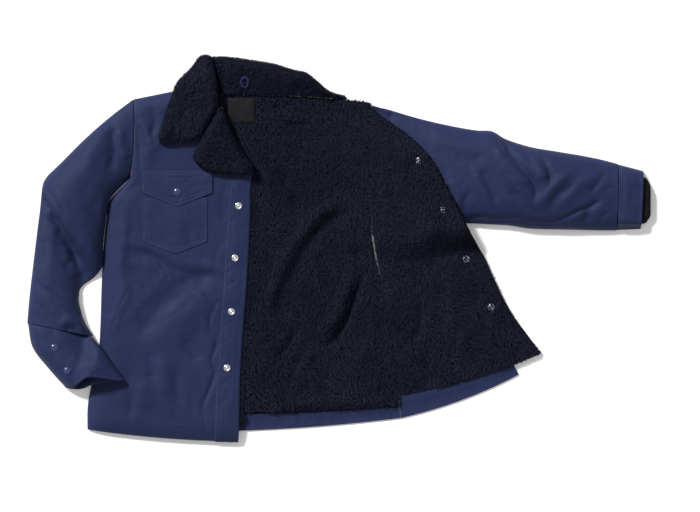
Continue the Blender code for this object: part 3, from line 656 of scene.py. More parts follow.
@dataclass(frozen=True)
class KnitRib:
    """Black ribbed knit of the storm cuffs, with small stitches."""

    name: str = "black_rib_knit"

    def material(self) -> bpy.types.Material:
        """Returns: the finished material."""
        paint = Paint(self.name, {"Specular IOR Level": 0.05})
        place, u, v = paint.cloth_place()
        loops = (v * (2 * math.pi / (1.6 * MM)) + (u * (2 * math.pi / (2.2 * MM))).math("SINE")).math("SINE")
        # the raised loops are painted paler and the hollows darker, with the same wave as the bump: painted light and
        # shade on the ribs
        paint.join(paint.blend(loops * 0.5 + 0.5, (0.004, 0.005, 0.006), (0.013, 0.014, 0.017)), "Base Color")
        paint.join(paint.bump(loops * 0.5 + 0.5, 0.3, 0.8), "Normal")
        paint.join(paint.noise(place, 300.0) * 0.1 + 0.8, "Roughness")
        return paint.material


@dataclass(frozen=True)
class SewingThread:
    """Navy sewing thread, a little paler than the cloth, with its twist."""

    name: str = "navy_thread"

    def material(self) -> bpy.types.Material:
        """Returns: the finished material."""
        paint = Paint(self.name, {"Specular IOR Level": 0.3})
        twist = paint.noise(paint.object_place(), 2200.0, 1.0)
        paint.join(paint.blend(twist, (0.022, 0.028, 0.075), (0.045, 0.055, 0.125)), "Base Color")
        paint.join(paint.bump(twist, 0.1, 0.6), "Normal")
        paint.join(twist * 0.1 + 0.5, "Roughness")
        return paint.material


@dataclass(frozen=True)
class SnapMetal:
    """Bright nickel of the snaps, faintly scratched."""

    name: str = "bright_nickel"

    def material(self) -> bpy.types.Material:
        """Returns: the finished material."""
        paint = Paint(self.name, {"Metallic": 1.0})
        scratches = paint.noise(paint.object_place(), 900.0, 4.0, 0.7)
        paint.join(paint.blend(scratches, (0.62, 0.62, 0.64), (0.86, 0.86, 0.87)), "Base Color")
        paint.join(scratches * 0.25 + 0.15, "Roughness")
        paint.join(paint.bump(scratches, 0.04, 0.4), "Normal")
        return paint.material


@dataclass(frozen=True)
class SnapEnamel:
    """Glossy navy enamel of the caps."""

    name: str = "navy_enamel_cap"

    def material(self) -> bpy.types.Material:
        """Returns: the finished material."""
        paint = Paint(self.name, {"Coat Weight": 0.6, "Coat Roughness": 0.1, "Specular IOR Level": 0.5})
        dust = paint.noise(paint.object_place(), 500.0, 3.0)
        paint.join(paint.blend(dust, (0.010, 0.020, 0.075), (0.018, 0.032, 0.105)), "Base Color")
        paint.join(dust * 0.15 + 0.2, "Roughness")
        return paint.material


@dataclass(frozen=True)
class LabelSatin:
    """Black woven satin of the bare neck label."""

    name: str = "black_label_satin"

    def material(self) -> bpy.types.Material:
        """Returns: the finished material."""
        paint = Paint(self.name, {"Specular IOR Level": 0.08})
        place, u, v = paint.cloth_place()
        twill = ((u + v) * (2 * math.pi / (0.9 * MM))).math("SINE") * 0.5 + 0.5
        # the twill's raised lines are painted paler and its grooves darker, with the same wave as the bump: painted
        # light and shade on the weave
        paint.join(paint.blend(twill, (0.006, 0.006, 0.007), (0.013, 0.013, 0.015)), "Base Color")
        paint.join(paint.bump(twill, 0.05, 0.6), "Normal")
        paint.join(paint.noise(place, 200.0) * 0.15 + 0.4, "Roughness")
        return paint.material


@dataclass(frozen=True)
class PaleFloor:
    """The plain white paper that the jacket lies on."""

    name: str = "white_paper"

    def material(self) -> bpy.types.Material:
        """Returns: the finished material."""
        constants = {"Roughness": 0.9, "Specular IOR Level": 0.0, "Emission Strength": 0.12}
        paint = Paint(self.name, constants | {"Emission Color": (1.0, 1.0, 1.0, 1.0)})
        grain = paint.noise(paint.object_place(), 60.0, 2.0)
        paint.join(paint.blend(grain, (0.88, 0.88, 0.885), (0.90, 0.90, 0.90)), "Base Color")
        return paint.material


class Finishes:
    """Makes each finish's material once."""

    def __init__(self) -> None:
        """Starts with nothing made."""
        self.made: dict[str, bpy.types.Material] = {}

    def of(self, finish: object) -> bpy.types.Material:
        """The finish's material."""
        if finish.name not in self.made:
            self.made[finish.name] = finish.material()
        return self.made[finish.name]


FINISHES = Finishes()


@dataclass
class Mesh:
    """Points and faces that are not yet in the scene, in millimetres."""

    points: Array
    quads: Array
    triangles: Array
    cloth_map: Array | None = None
    numbers: tuple[str, Array] | None = None

    def put(self, name: str, finish: object, slot: str, stands_for: tuple[str, ...] = ()) -> bpy.types.Object:
        """Puts the mesh into the scene, in metres.

        Args:
            name: of the piece.
            finish: what it is made of.
            slot: not used.
            stands_for: the solids that it replaces.

        Returns:
            The object.
        """
        mesh = bpy.data.meshes.new(name)
        corners = np.concatenate([self.quads.ravel(), self.triangles.ravel()]).astype(np.int32)
        sizes = np.concatenate([np.full(len(self.quads), 4), np.full(len(self.triangles), 3)])
        starts = np.concatenate([[0], np.cumsum(sizes)[:-1]]).astype(np.int32)
        mesh.vertices.add(len(self.points))
        mesh.vertices.foreach_set("co", ((self.points + TABLE_SHIFT) * MM).astype(np.float32).ravel())
        mesh.loops.add(len(corners))
        mesh.loops.foreach_set("vertex_index", corners)
        mesh.polygons.add(len(sizes))
        mesh.polygons.foreach_set("loop_start", starts)
        mesh.update(calc_edges=True)
        mesh.polygons.foreach_set("use_smooth", np.ones(len(sizes), bool))
        if self.cloth_map is not None:
            layer = mesh.uv_layers.new(name="cloth")
            layer.data.foreach_set("uv", (self.cloth_map[corners] * MM).astype(np.float32).ravel())
        if self.numbers is not None:
            attribute = mesh.attributes.new(self.numbers[0], "FLOAT", "POINT")
            attribute.data.foreach_set("value", self.numbers[1].astype(np.float32))
        mesh.materials.append(FINISHES.of(finish))
        made = bpy.data.objects.new(name, mesh)
        bpy.context.scene.collection.objects.link(made)
        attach(made, "root")
        if stands_for:
            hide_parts(*stands_for)
        count = 2 * len(self.quads) + len(self.triangles)
        LOG.info("%s: %d triangles", name, count)
        return made


def grid_quads(rows: int, columns: int) -> Array:
    """The quads of a grid, facing up where rows run down the table and columns to the right."""
    number = np.arange(rows * columns).reshape(rows, columns)
    corners = (number[:-1, :-1], number[1:, :-1], number[1:, 1:], number[:-1, 1:])
    return np.stack([corner.ravel() for corner in corners], axis=1)


def faces_out(points: Array, quads: Array) -> Array:
    """The quads of a closed mesh, turned so that they face outwards: its signed volume is positive."""
    a, b, c, d = (points[quads[:, k]] for k in range(4))
    volume = (a * np.cross(b, c)).sum() + (a * np.cross(c, d)).sum()
    return quads if volume > 0 else quads[:, ::-1]


def cloth_lengths(points: Array) -> Array:
    """The map of a grid: lengths along its rows and columns, measured on the surface."""
    across = np.linalg.norm(np.diff(points, axis=1), axis=2)
    along = np.linalg.norm(np.diff(points, axis=0), axis=2)
    u = np.concatenate([np.zeros((len(points), 1)), np.cumsum(across, axis=1)], axis=1)
    u = u - u[:, u.shape[1] // 2, None]
    v = np.concatenate([np.zeros((1, points.shape[1])), np.cumsum(along, axis=0)], axis=0)
    return np.stack([u, v], axis=2)


def slab(bottom: Array, top: Array, wear: Array | None = None) -> Mesh:
    """A closed piece of cloth between two grids of points.

    Args:
        bottom: the under side.
        top: the outer side.
        wear: how rubbed the cloth is at each point, from 0 to 1.

    Returns:
        The mesh.
    """
    rows, columns = top.shape[:2]
    count = rows * columns
    number = np.arange(count).reshape(rows, columns)
    upper = grid_quads(rows, columns)
    ring = np.concatenate([number[0, :-1], number[:-1, -1], number[-1, :0:-1], number[:0:-1, 0]])
    after = np.roll(ring, -1)
    rim = np.stack([ring, after, after + count, ring + count], axis=1)
    points = np.concatenate([top.reshape(-1, 3), bottom.reshape(-1, 3)])
    quads = np.concatenate([upper, upper[:, ::-1] + count, rim])
    lengths = cloth_lengths(top).reshape(-1, 2)
    rubbed = np.zeros(count) if wear is None else wear.ravel()
    numbers = ("wear", np.concatenate([rubbed, rubbed]))
    none = np.zeros((0, 3), int)
    return Mesh(points, faces_out(points, quads), none, np.concatenate([lengths, lengths]), numbers)


def tube(outer: Array, inner: Array) -> Mesh:
    """A closed wall between two stacks of rings, open at both ends.

    Args:
        outer: rings of points, one after another along the tube.
        inner: the same, inside them.

    Returns:
        The mesh.
    """
    stations, around = outer.shape[:2]
    count = stations * around
    number = np.arange(count).reshape(stations, around)
    after = np.roll(number, -1, axis=1)
    wall = np.stack([number[:-1], after[:-1], after[1:], number[1:]], axis=2).reshape(-1, 4)
    first = np.stack([number[0], number[0] + count, after[0] + count, after[0]], axis=1)
    last = np.stack([number[-1], after[-1], after[-1] + count, number[-1] + count], axis=1)
    points = np.concatenate([outer.reshape(-1, 3), inner.reshape(-1, 3)])
    quads = np.concatenate([wall, wall[:, ::-1] + count, first, last])
    closed = np.concatenate([outer, outer[:, :1]], axis=1)
    lengths = cloth_lengths(closed)[:, :-1].reshape(-1, 2)
    none = np.zeros((0, 3), int)
    numbers = ("wear", np.zeros(2 * count))
    return Mesh(points, faces_out(points, quads), none, np.concatenate([lengths, lengths]), numbers)


def area_of(points: Array) -> float:
    """The area of a grid of points, in square millimetres."""
    a, b = np.diff(points, axis=0)[:, :-1], np.diff(points, axis=1)[:-1]
    return float(np.linalg.norm(np.cross(a, b), axis=2).sum())


def declare_sheet(
    piece: bpy.types.Object, points: Array
) -> None:
    """Logs the cut size of a piece of laid cloth: its longest lengths along and across, measured on it, and its area.

    Args:
        piece: the cloth.
        points: the grid of its outer side.
    """
    lengths = cloth_lengths(points)
    width = float(np.ptp(lengths[:, :, 0], axis=1).max()) * MM
    length = float(lengths[-1, :, 1].max()) * MM
    area = min(area_of(points) * MM * MM, width * length)
    flat = (round(width, 4), round(length, 4))
    LOG.info("%s: cut %.3f x %.3f m, %.4f square metres", piece.name, *flat, area)
    area = min(area, flat[0] * flat[1])


@dataclass
class Nap:
    """Curved tufts of pile. Each is a ribbon with a raised spine that leans the way the nap lies."""

    spacing: float = 2.5
    length: float = 8.0
    lift: float = 2.8
    width: float = 1.15
    clump: float = 7.5
    lie: float = -1.3  # the way the nap lies, in radians from +X
    swirl: float = 0.9
    seed: int = 1

    def ribbons(self, root: Array, out: Array, heading: Array, length: Array, lift: Array) -> Mesh:
        """Tufts from their roots.

        The spine runs from the root, up over a bend at 0.45 of the length, and down to the tip.

        Args:
            root: where each starts.
            out: the surface's normal there.
            heading: the way it leans.
            length: of each.
            lift: the height of its bend.

        Returns:
            The mesh, with a number for each point: painted shade, darkest at the root, a painted highlight on the
                spine, and a random lightness for each tuft.
        """
        rng = np.random.default_rng(self.seed + 77)
        count = len(root)
        side = unit(np.cross(out, heading)) * (self.width * rng.uniform(0.6, 1.2, count))[:, None]
        spine = out * (self.width * 0.55)
        middle = root + heading * (0.45 * length)[:, None] + out * lift[:, None]
        tip = root + heading * length[:, None] + out * (lift * rng.uniform(0.1, 0.8, count))[:, None]
        low = root - out * 1.2
        foot = [low - side, low + spine, low + side]
        bend = [middle - side * 0.8, middle + spine, middle + side * 0.8]
        points = np.stack([*foot, *bend, tip], axis=1).reshape(-1, 3)
        first = np.arange(count)[:, None] * 7
        quads = np.concatenate([first + (0, 1, 4, 3), first + (1, 2, 5, 4)])[:, ::-1]
        triangles = np.concatenate([first + (3, 4, 6), first + (4, 5, 6)])[:, ::-1]
        own = rng.uniform(0.55, 1.25, count)[:, None]
        # painted shade, darkest at the root, and a painted highlight on the raised spine over the sides, times a
        # random lightness for each tuft
        tone = (own * np.array([0.08, 0.15, 0.08, 0.55, 0.7, 0.55, 1.0])).ravel()
        return Mesh(points, quads, triangles, None, ("tone", tone))

    def heading(self, place: Array, out: Array, rng: np.random.Generator) -> Array:
        """The way each tuft leans: the nap's lie turned by noise, then drawn to its clump's middle."""
        x, y = place[:, 0], place[:, 1]
        wide, close = Ripple(self.seed + 3, 62.0), Ripple(self.seed + 4, 19.0)
        angle = self.lie + self.swirl * 1.5 * wide.at(x, y) + self.swirl * 0.8 * close.at(x, y)
        angle = angle + rng.normal(0.0, 0.22, len(x))
        flow = np.stack([np.cos(angle), np.sin(angle), np.zeros(len(x))], axis=1)
        jitter = np.random.default_rng(self.seed + 9).uniform(0.0, 1.0, (64, 64, 2))
        cell = np.floor(place[:, :2] / self.clump).astype(int)
        nearest, pull = np.full(len(x), np.inf), np.zeros((len(x), 2))
        for step_x in (-1, 0, 1):
            for step_y in (-1, 0, 1):
                near = cell + (step_x, step_y)
                middle = (near + jitter[near[:, 0] % 64, near[:, 1] % 64]) * self.clump
                away = middle - place[:, :2]
                gap = np.hypot(away[:, 0], away[:, 1])
                closer = gap < nearest
                nearest, pull = np.where(closer, gap, nearest), np.where(closer[:, None], away, pull)
        flow[:, :2] += pull / self.clump * 1.3
        flow = flow - out * (flow * out).sum(axis=1, keepdims=True)
        return unit(flow)

    def cover(self, surface: Array, shown: Array | None = None) -> Mesh:
        """Tufts all over a grid of points.

        Args:
            surface: the pile's outer side.
            shown: a number for each quad, 0 where nothing grows.

        Returns:
            The mesh.
        """
        rng = np.random.default_rng(self.seed)
        a, b = np.diff(surface, axis=0)[:, :-1], np.diff(surface, axis=1)[:-1]
        area = np.linalg.norm(np.cross(a, b), axis=2) * (1.0 if shown is None else shown)
        total = np.cumsum(area.ravel())
        count = int(total[-1] / self.spacing**2)
        at = (np.arange(count) + rng.uniform(0.0, 1.0, count)) / count * total[-1]
        index = np.minimum(np.searchsorted(total, at), len(total) - 1)
        i, j = index // area.shape[1], index % area.shape[1]
        s, t = rng.uniform(0, 1, (2, count, 1))
        low = surface[i, j] * (1 - t) + surface[i, j + 1] * t
        high = surface[i + 1, j] * (1 - t) + surface[i + 1, j + 1] * t
        place = low * (1 - s) + high * s
        out = normals(surface)[i, j]
        heading = self.heading(place, out, rng)
        length = self.length * rng.uniform(0.65, 1.25, count)
        lift = self.lift * rng.uniform(0.5, 1.4, count)
        return self.ribbons(place - heading * (0.4 * length)[:, None], out, heading, length, lift)

    def fringe(self, bottom: Array, top: Array, reach: float, layers: int = 3) -> Mesh:
        """Tufts round the rim of a piece of pile, leaning outwards.

        Args:
            bottom: the grid of its under side.
            top: the grid of its outer side.
            reach: how far the tufts stand past the rim.
            layers: the rows of tufts, one over another.

        Returns:
            The mesh.
        """
        rng = np.random.default_rng(self.seed + 21)
        rows, columns = top.shape[:2]
        number = np.arange(rows * columns).reshape(rows, columns)
        ring = np.concatenate([number[0, :-1], number[:-1, -1], number[-1, :0:-1], number[:0:-1, 0]])
        ring = np.append(ring, ring[0])
        high, low = top.reshape(-1, 3)[ring], bottom.reshape(-1, 3)[ring]
        knots = np.concatenate([[0.0], np.cumsum(np.linalg.norm(np.diff(high, axis=0), axis=1))])
        centre = high[:, :2].mean(axis=0)
        parts = []
        for layer in range(layers):
            count = int(knots[-1] / (self.spacing * 0.62))
            at = (np.arange(count) + rng.uniform(0, 1, count)) / count * knots[-1]
            place = np.stack([np.interp(at, knots, high[:, k]) for k in range(3)], axis=1)
            under = np.interp(at, knots, low[:, 2])
            ahead = np.stack([np.interp((at + 4.0) % knots[-1], knots, high[:, k]) for k in range(2)], axis=1)
            behind = np.stack([np.interp((at - 4.0) % knots[-1], knots, high[:, k]) for k in range(2)], axis=1)
            along = unit(ahead - behind)
            away = np.stack([along[:, 1], -along[:, 0]], axis=1)
            share = (layer + rng.uniform(0.0, 1.0, count)) / layers
            place[:, 2] = under + (place[:, 2] - under) * (0.25 + 0.75 * share)
            parts.append((place, away, along, share))
        place, away, along, share = (np.concatenate([part[k] for part in parts]) for k in range(4))
        inward = ((centre - place[:, :2]) * away).sum() > 0
        away = -away if inward else away
        sway = along * rng.normal(0.0, 0.45, len(place))[:, None]
        heading = np.column_stack([away + sway, rng.uniform(-0.35, 0.35, len(place))])
        heading = unit(heading)
        out = np.tile((0.0, 0.0, 1.0), (len(place), 1))
        out = unit(out - heading * (out * heading).sum(axis=1, keepdims=True))
        length = self.length * rng.uniform(0.6, 1.15, len(place))
        root = place - np.column_stack([away * (length - reach)[:, None], np.zeros(len(place))])
        return self.ribbons(root, out, heading, length, self.lift * 0.5 * rng.uniform(0.4, 1.4, len(place)))

    def put(self, name: str, mesh: Mesh) -> bpy.types.Object:
        """Puts tufts into the scene."""
        return mesh.put(name, PileTuft(), "pile")


class Stitching:
    """Rows of machine stitches: each is a short thread that dips into the cloth at both ends."""

    LENGTH, SKIP, RADIUS = 3.0, 1.1, 0.42

    def __init__(self) -> None:
        """Starts with no stitches."""
        self.parts: list[Array] = []

    def row(self, surface: Surface, path: tuple, lift: float = 0.15) -> None:
        """Adds one row of stitches.

        Args:
            surface: the cloth that is sewn.
            path: points that the row runs through.
            lift: the height of the thread's middle over the cloth.
        """
        line = smooth_path(path, self.LENGTH + self.SKIP)
        start, run = line[:-1], np.diff(line, axis=0)
        share = self.LENGTH / (self.LENGTH + self.SKIP)
        places = np.array([0.0, 0.25, 0.75, 1.0]) * share
        middle = start[:, None] + run[:, None] * places[:, None]
        height = surface.height(middle[:, :, 0], middle[:, :, 1])
        height = height + np.array([-0.25, lift, lift, -0.25])
        side = np.stack([-run[:, 1], run[:, 0]], axis=1) / np.linalg.norm(run, axis=1, keepdims=True)
        thick = self.RADIUS * np.array([0.5, 1.0, 1.0, 0.5])
        rings = []
        for across, up in ((-1, 0), (0, 1), (1, 0), (0, -1)):
            flat = middle + side[:, None] * (across * thick)[:, None]
            rings.append(np.concatenate([flat, (height + up * thick)[:, :, None]], axis=2))
        self.parts.append(np.stack(rings, axis=2).reshape(-1, 16, 3))

    def put(self, name: str) -> bpy.types.Object:
        """Puts all the rows into the scene as one piece."""
        blocks = np.concatenate(self.parts)
        number = np.arange(16).reshape(4, 4)
        after = np.roll(number, -1, axis=1)
        wall = np.stack([number[:-1], after[:-1], after[1:], number[1:]], axis=2).reshape(-1, 4)
        own = np.concatenate([wall, [[3, 2, 1, 0], [12, 13, 14, 15]]])
        sample = blocks[0]
        own = faces_out(sample, own)
        quads = (np.arange(len(blocks))[:, None, None] * 16 + own).reshape(-1, 4)
        mesh = Mesh(blocks.reshape(-1, 3), quads, np.zeros((0, 3), int))
        return mesh.put(name, SewingThread(), "shell")


def worn(plan: Plan) -> Array:
    """Wear along a panel's edges."""
    return np.exp(-plan.edge() / 5.0)


def soft_edge(plan: Plan, thick: float) -> Array:
    """The cloth's thickness, rounded off at the panel's edges."""
    return thick * (0.45 + 0.55 * rounded(plan.edge(), 2.4))


@dataclass
class RightFront:
    """The closed front: shell, turned hem, placket, chest pocket with its flap, lining edge and open studs."""

    step: float = 3.1
    side_rounding: float = 45.0
    hem_rounding: float = 35.0
    placket_snaps: tuple = ((-200, 84), (-207, -20), (-214, -127), (-223, -239))
    flap_snap: tuple = (-322, 112)
    creases: tuple = (
        Crease(14, -1.5, ((-425, 2), (-372, -9), (-342, -27), (-303, -44), (-263, -46), (-234, -56)), 3.6),
        Crease(20, -5.5, ((-256, -60), (-303, -73), (-342, -103), (-372, -133), (-396, -165))),
        Crease(30, 4.0, ((-256, -104), (-300, -128), (-338, -165), (-356, -205))),
        Crease(5, -2.0, ((-415, -38), (-396, -60), (-382, -86))),
        Crease(5, -1.8, ((-396, -34), (-374, -58), (-366, -74))),
        Crease(4, -1.6, ((-376, -28), (-352, -58))),
        Crease(4, -1.6, ((-356, -34), (-338, -62))),
        Crease(11, 2.6, ((-423, 70), (-426, 0), (-431, -32), (-423, -88), (-441, -138), (-462, -182)), -1.2),
        Crease(3.4, -1.8, ((-422, -84), (-440, -126), (-458, -170))),
        Crease(
            5,
            -2.6,
            (
                (-240, -108),
                (-254, -138),
                (-256, -160),
                (-243, -180),
                (-244, -200),
                (-253, -224),
                (-246, -246),
                (-258, -284),
                (-269, -316),
                (-262, -360),
            ),
            1.2,
        ),
        Crease(4, -2.4, ((-293, -96), (-274, -116), (-256, -134))),
        Crease(4, -2.0, ((-272, -88), (-246, -116))),
        Crease(5, -1.6, ((-320, -96), (-302, -122))),
        Crease(13, -3.6, ((-306, -182), (-292, -204), (-280, -226))),
        Crease(12, -3.4, ((-378, -208), (-374, -236), (-370, -262))),
        Crease(12, -2.8, ((-328, -250), (-322, -280), (-322, -310))),
        Crease(15, 2.6, ((-352, -222), (-348, -256), (-346, -296))),
        Crease(9, 3.6, ((-396, 258), (-384, 234), (-376, 204))),
        Crease(8, -3.2, ((-402, 250), (-398, 200), (-398, 156))),
        Crease(8, -3.0, ((-372, 282), (-368, 250), (-374, 226))),
        Crease(13, 3.0, ((-354, 216), (-372, 200), (-388, 178))),
        Crease(4.5, -2.6, ((-418, 142), (-444, 118), (-460, 92), (-462, 74))),
        Crease(8, 2.4, ((-406, 140), (-436, 112), (-450, 84))),
        Crease(14, -2.4, ((-432, -250), (-412, -300), (-420, -336))),
        Crease(16, 2.2, ((-396, -270), (-392, -318))),
        Crease(9, -2.0, ((-300, 40), (-290, 0), (-262, -26))),
        Crease(8, -1.6, ((-226, 132), (-232, 92), (-230, 50))),
        Crease(6, -1.4, ((-234, 10), (-248, -18), (-246, -42))),
        Crease(7, -1.6, ((-296, -300), (-290, -330))),
        Crease(3, -1.1, ((-224, 44), (-206, 62))),
        Crease(3, -1.1, ((-226, -52), (-204, -38))),
        Crease(3, -1.2, ((-226, -78), (-206, -66))),
        Crease(3, -1.1, ((-232, -160), (-212, -146))),
        Crease(3, -1.2, ((-232, -190), (-214, -176))),
        Crease(3, -1.1, ((-236, -276), (-214, -258))),
        Crease(3, -1.1, ((-240, -312), (-216, -296))),
    )

    def build(self, sewing: Stitching) -> Surface:
        """Builds the front.

        Args:
            sewing: takes the front's stitches.

        Returns:
            Its outer side.
        """
        plan = Plan(RIGHT_FRONT, self.step)
        under = plan.at(self.floor(plan))
        outer = moved_out(under, soft_edge(plan, CLOTH))
        surface = Surface(outer)
        shell = slab(under, outer, worn(plan)).put("right_front", ShellCloth(), "shell", ("front_right_shell",))
        declare_sheet(shell, outer)
        self.placket(plan, outer, sewing)
        self.hidden_layers(plan, under)
        self.pocket(surface, sewing)
        self.studs(surface)
        sewing.row(surface, ((-499, -334), (-420, -342), (-340, -350), (-262, -356)))
        for offset in (0.0, 5.0):
            line = ((-273 + offset, -68), (-277 + offset, -180), (-272 + offset, -280), (-276 + offset, -350))
            sewing.row(surface, line)
        sewing.row(surface, ((-419, -86), (-437, -127), (-455, -171)))
        return surface

    def floor(self, plan: Plan) -> Array:
        """Height of the front's under side: it rounds down to its four edges, with the creases added."""
        free_side = 0.15 + 0.85 * smoothstep((150.0 - plan.y) / 40.0)
        side = 1.0 - free_side * (1.0 - rounded(plan.left, self.side_rounding))
        hem = 1.0 - 0.72 * (1.0 - rounded(plan.end, self.hem_rounding))
        front = 1.0 - 0.24 * (1.0 - rounded(plan.right, 30.0))
        shoulder = rounded(plan.start, self.hem_rounding)
        calm = rounded(plan.left, 26.0) * rounded(plan.end, 30.0) * (0.3 + 0.7 * rounded(plan.right, 50.0))
        ripple = 0.55 * Ripple(11, 30.0).at(plan.x, plan.y) + 0.2 * Ripple(12, 9.0).at(plan.x, plan.y)
        rise = FRONT_RISE * side * hem * front * shoulder
        return FRONT_FLOOR + rise + calm * (folded(self.creases, plan.x, plan.y) + ripple)

    def placket(self, plan: Plan, outer: Array, sewing: Stitching) -> None:
        """The band along the front edge, double folded and stitched near both of its edges."""
        rows = plan.y[:, -1] < 150.0
        columns = plan.right.max(axis=0) <= PLACKET_WIDTH + 1.5
        near, far = np.argmax(rows), np.argmax(columns)
        part = outer[near:, far:]
        across, along = plan.right[near:, far:], plan.start[near:, far:]
        edge = np.minimum(np.minimum(across, across.max(axis=1)[:, None] - across), along - along.min())
        band_under = moved_out(part, SEAM_GAP)
        pucker = 0.5 * Ripple(17, 7.0).at(part[:, :, 0], part[:, :, 1] * 0.5) * smoothstep((edge - 1.0) / 6.0)
        groove = -0.5 * np.exp(-(((edge - 6.0) / 1.6) ** 2))
        thick = THIN_CLOTH * (0.4 + 0.6 * rounded(edge, 2.2))
        band = moved_out(band_under, thick + np.maximum(pucker + groove, -0.9))
        mesh = slab(band_under, band, np.exp(-edge / 4.0))
        piece = mesh.put("placket", ShellCloth(), "shell", ("placket_right",))
        declare_sheet(piece, band)
        surface = Surface(band)
        left, right = band[4:-3:9, 4], band[4:-3:9, -5]
        sewing.row(surface, tuple(map(tuple, left[:, :2])))
        sewing.row(surface, tuple(map(tuple, right[:, :2])))

    def hidden_layers(self, plan: Plan, under: Array) -> None:
        """The turned hem, and the lining with its pile standing past the front edge."""
        hem_rows = plan.end[:, 0] <= HEM_DEPTH + 1.0
        first = np.argmax(hem_rows)
        hem = raised(under[first::2, ::4], -SEAM_GAP)
        piece = slab(raised(hem, -THIN_CLOTH), hem).put("right_front_hem", ShellCloth(), "shell", ("hem_front_right",))
        declare_sheet(piece, hem)

        start = np.argmax(plan.start[:, 0] >= 30.0)
        stop = first
        coarse, fine = np.arange(14, under.shape[1], 8), np.arange(under.shape[1] - 9, under.shape[1])
        take = np.unique(np.concatenate([coarse, fine]))
        lining = raised(under[start:stop:2][:, take], -SEAM_GAP)
        from_edge = plan.right[start:stop:2][:, take]
        sunk = lining[:, :, 2] - 5.0 * smoothstep((from_edge - 20.0) / 25.0)
        lining[:, :, 2] = np.maximum(sunk, BACK_LINING_TOP + 1.3)
        reach = 9.0 * smoothstep((165.0 - lining[:, -1:, 1]) / 40.0) + 0.8
        steps = []
        for share in (0.35, 0.7, 1.0):
            edge = lining[:, -1:].copy()
            edge[:, :, 0] += reach * share
            edge[:, :, 2] -= 2.5 * share**2
            steps.append(edge)
        lining = np.concatenate([lining, *steps], axis=1)
        base = lining.copy()
        base[:, :, 2] = BACK_LINING_TOP + SEAM_GAP
        piece = slab(base, lining).put("right_front_lining", PileGround(), "pile", ("lining_front_right",))
        nap = Nap(seed=60, lie=0.1, spacing=2.2, length=8.0, lift=1.5, swirl=0.5)
        strip = nap.cover(lining[:, -4:])
        tufts = nap.put("nap_right_edge", strip)
        fringe = nap.put("nap_right_fringe", nap.fringe(base[:, -6:], lining[:, -6:], 1.5, 2))
        declare_sheet(piece, lining)

    def pocket(self, surface: Surface, sewing: Stitching) -> None:
        """The pocket bag and its pointed flap, both double stitched, with bar tacks at the flap's top."""
        bag = self.shield(surface, (-390.0, -262.0, 100.0, 12.0, -12.0), 0.35, "pocket_bag", "chest_pocket", 0.10)
        for inset in (3.0, 9.0):
            low = ((-390 + inset, 96), (-390 + inset, 14 + inset / 2), (-326, -11 + inset))
            sewing.row(bag, low[:2])
            sewing.row(bag, low[1:])
            sewing.row(bag, ((-326, -11 + inset), (-263 - inset, 13 + inset / 2)))
            sewing.row(bag, ((-262 - inset, 14 + inset / 2), (-262 - inset, 96)))
        flap = self.shield(surface, (-392.0, -252.0, 154.0, 110.0, 82.0), 2.2, "flap", "pocket_flap", 0.0)
        for inset in (3.0, 9.0):
            sewing.row(flap, ((-389, 154 - inset), (-255, 154 - inset)))
        sewing.row(flap, ((-389, 150), (-389, 113), (-388, 112)))
        sewing.row(flap, ((-388, 112), (-322, 85.5), (-321, 85.3)))
        sewing.row(flap, ((-321, 85.3), (-256, 111.5), (-255, 112)))
        sewing.row(flap, ((-255, 113), (-255, 150)))
        for x, y in ((-389, 118), (-330, 110)):
            for shift in (-0.8, 0.0, 0.8):
                sewing.row(flap, ((x + shift, y - 5), (x + shift, y + 5)), 0.35)
        self.cap("flap_cap", self.flap_snap, float(flap.height(*map(np.array, self.flap_snap))), "flap_snap")

    def shield(self, carrier: Surface, sizes: tuple, lift: float, name: str, node: str, puff: float) -> Surface:
        """A five-sided patch on the front.

        Args:
            carrier: what it lies on.
            sizes: left, right, top, corners' y and point's y.
            lift: over the carrier.
            name: of the piece.
            node: the solid that it replaces.
            puff: how much the patch swells in its middle, as a share of its width over ten.

        Returns:
            Its outer side.
        """
        left, right, top, corner, tip = sizes
        near = np.array([0.0, 0.006, 0.014, 0.028])
        across = np.concatenate([near, np.linspace(0.028, 0.972, 47)[1:-1], 1.0 - near[::-1]])
        down = np.concatenate([near, np.linspace(0.028, 0.972, 41)[1:-1], 1.0 - near[::-1]])
        u, v = np.meshgrid(across, down)
        low = corner + (tip - corner) * (1.0 - np.sqrt((2.0 * u - 1.0) ** 2 + 0.002))
        x, y = left + (right - left) * u, top + (low - top) * v
        edge = np.minimum(np.minimum(u, 1 - u) * (right - left), np.minimum(v, 1 - v) * (top - corner))
        pucker = 0.3 * Ripple(23, 8.0).at(x, y) + 0.5 * Ripple(24, 28.0).at(x, y)
        groove = -0.45 * np.exp(-(((edge - 3.0) / 1.3) ** 2)) - 0.45 * np.exp(-(((edge - 9.0) / 1.3) ** 2))
        swell = puff * 10.0 * np.sin(math.pi * u) * np.sin(math.pi * v)
        base = np.stack([x, y, carrier.height(x, y) + lift], axis=2)
        rise = THIN_CLOTH * (0.4 + 0.6 * rounded(edge, 2.0))
        rise = rise + np.maximum(pucker * smoothstep(edge / 8.0) + groove, -0.8)
        outer = raised(base, rise + swell)
        mesh = slab(base, outer, np.exp(-edge / 4.0))
        piece = mesh.put(name, ShellCloth(), "shell", (node,))
        declare_sheet(piece, outer)
        return Surface(outer)

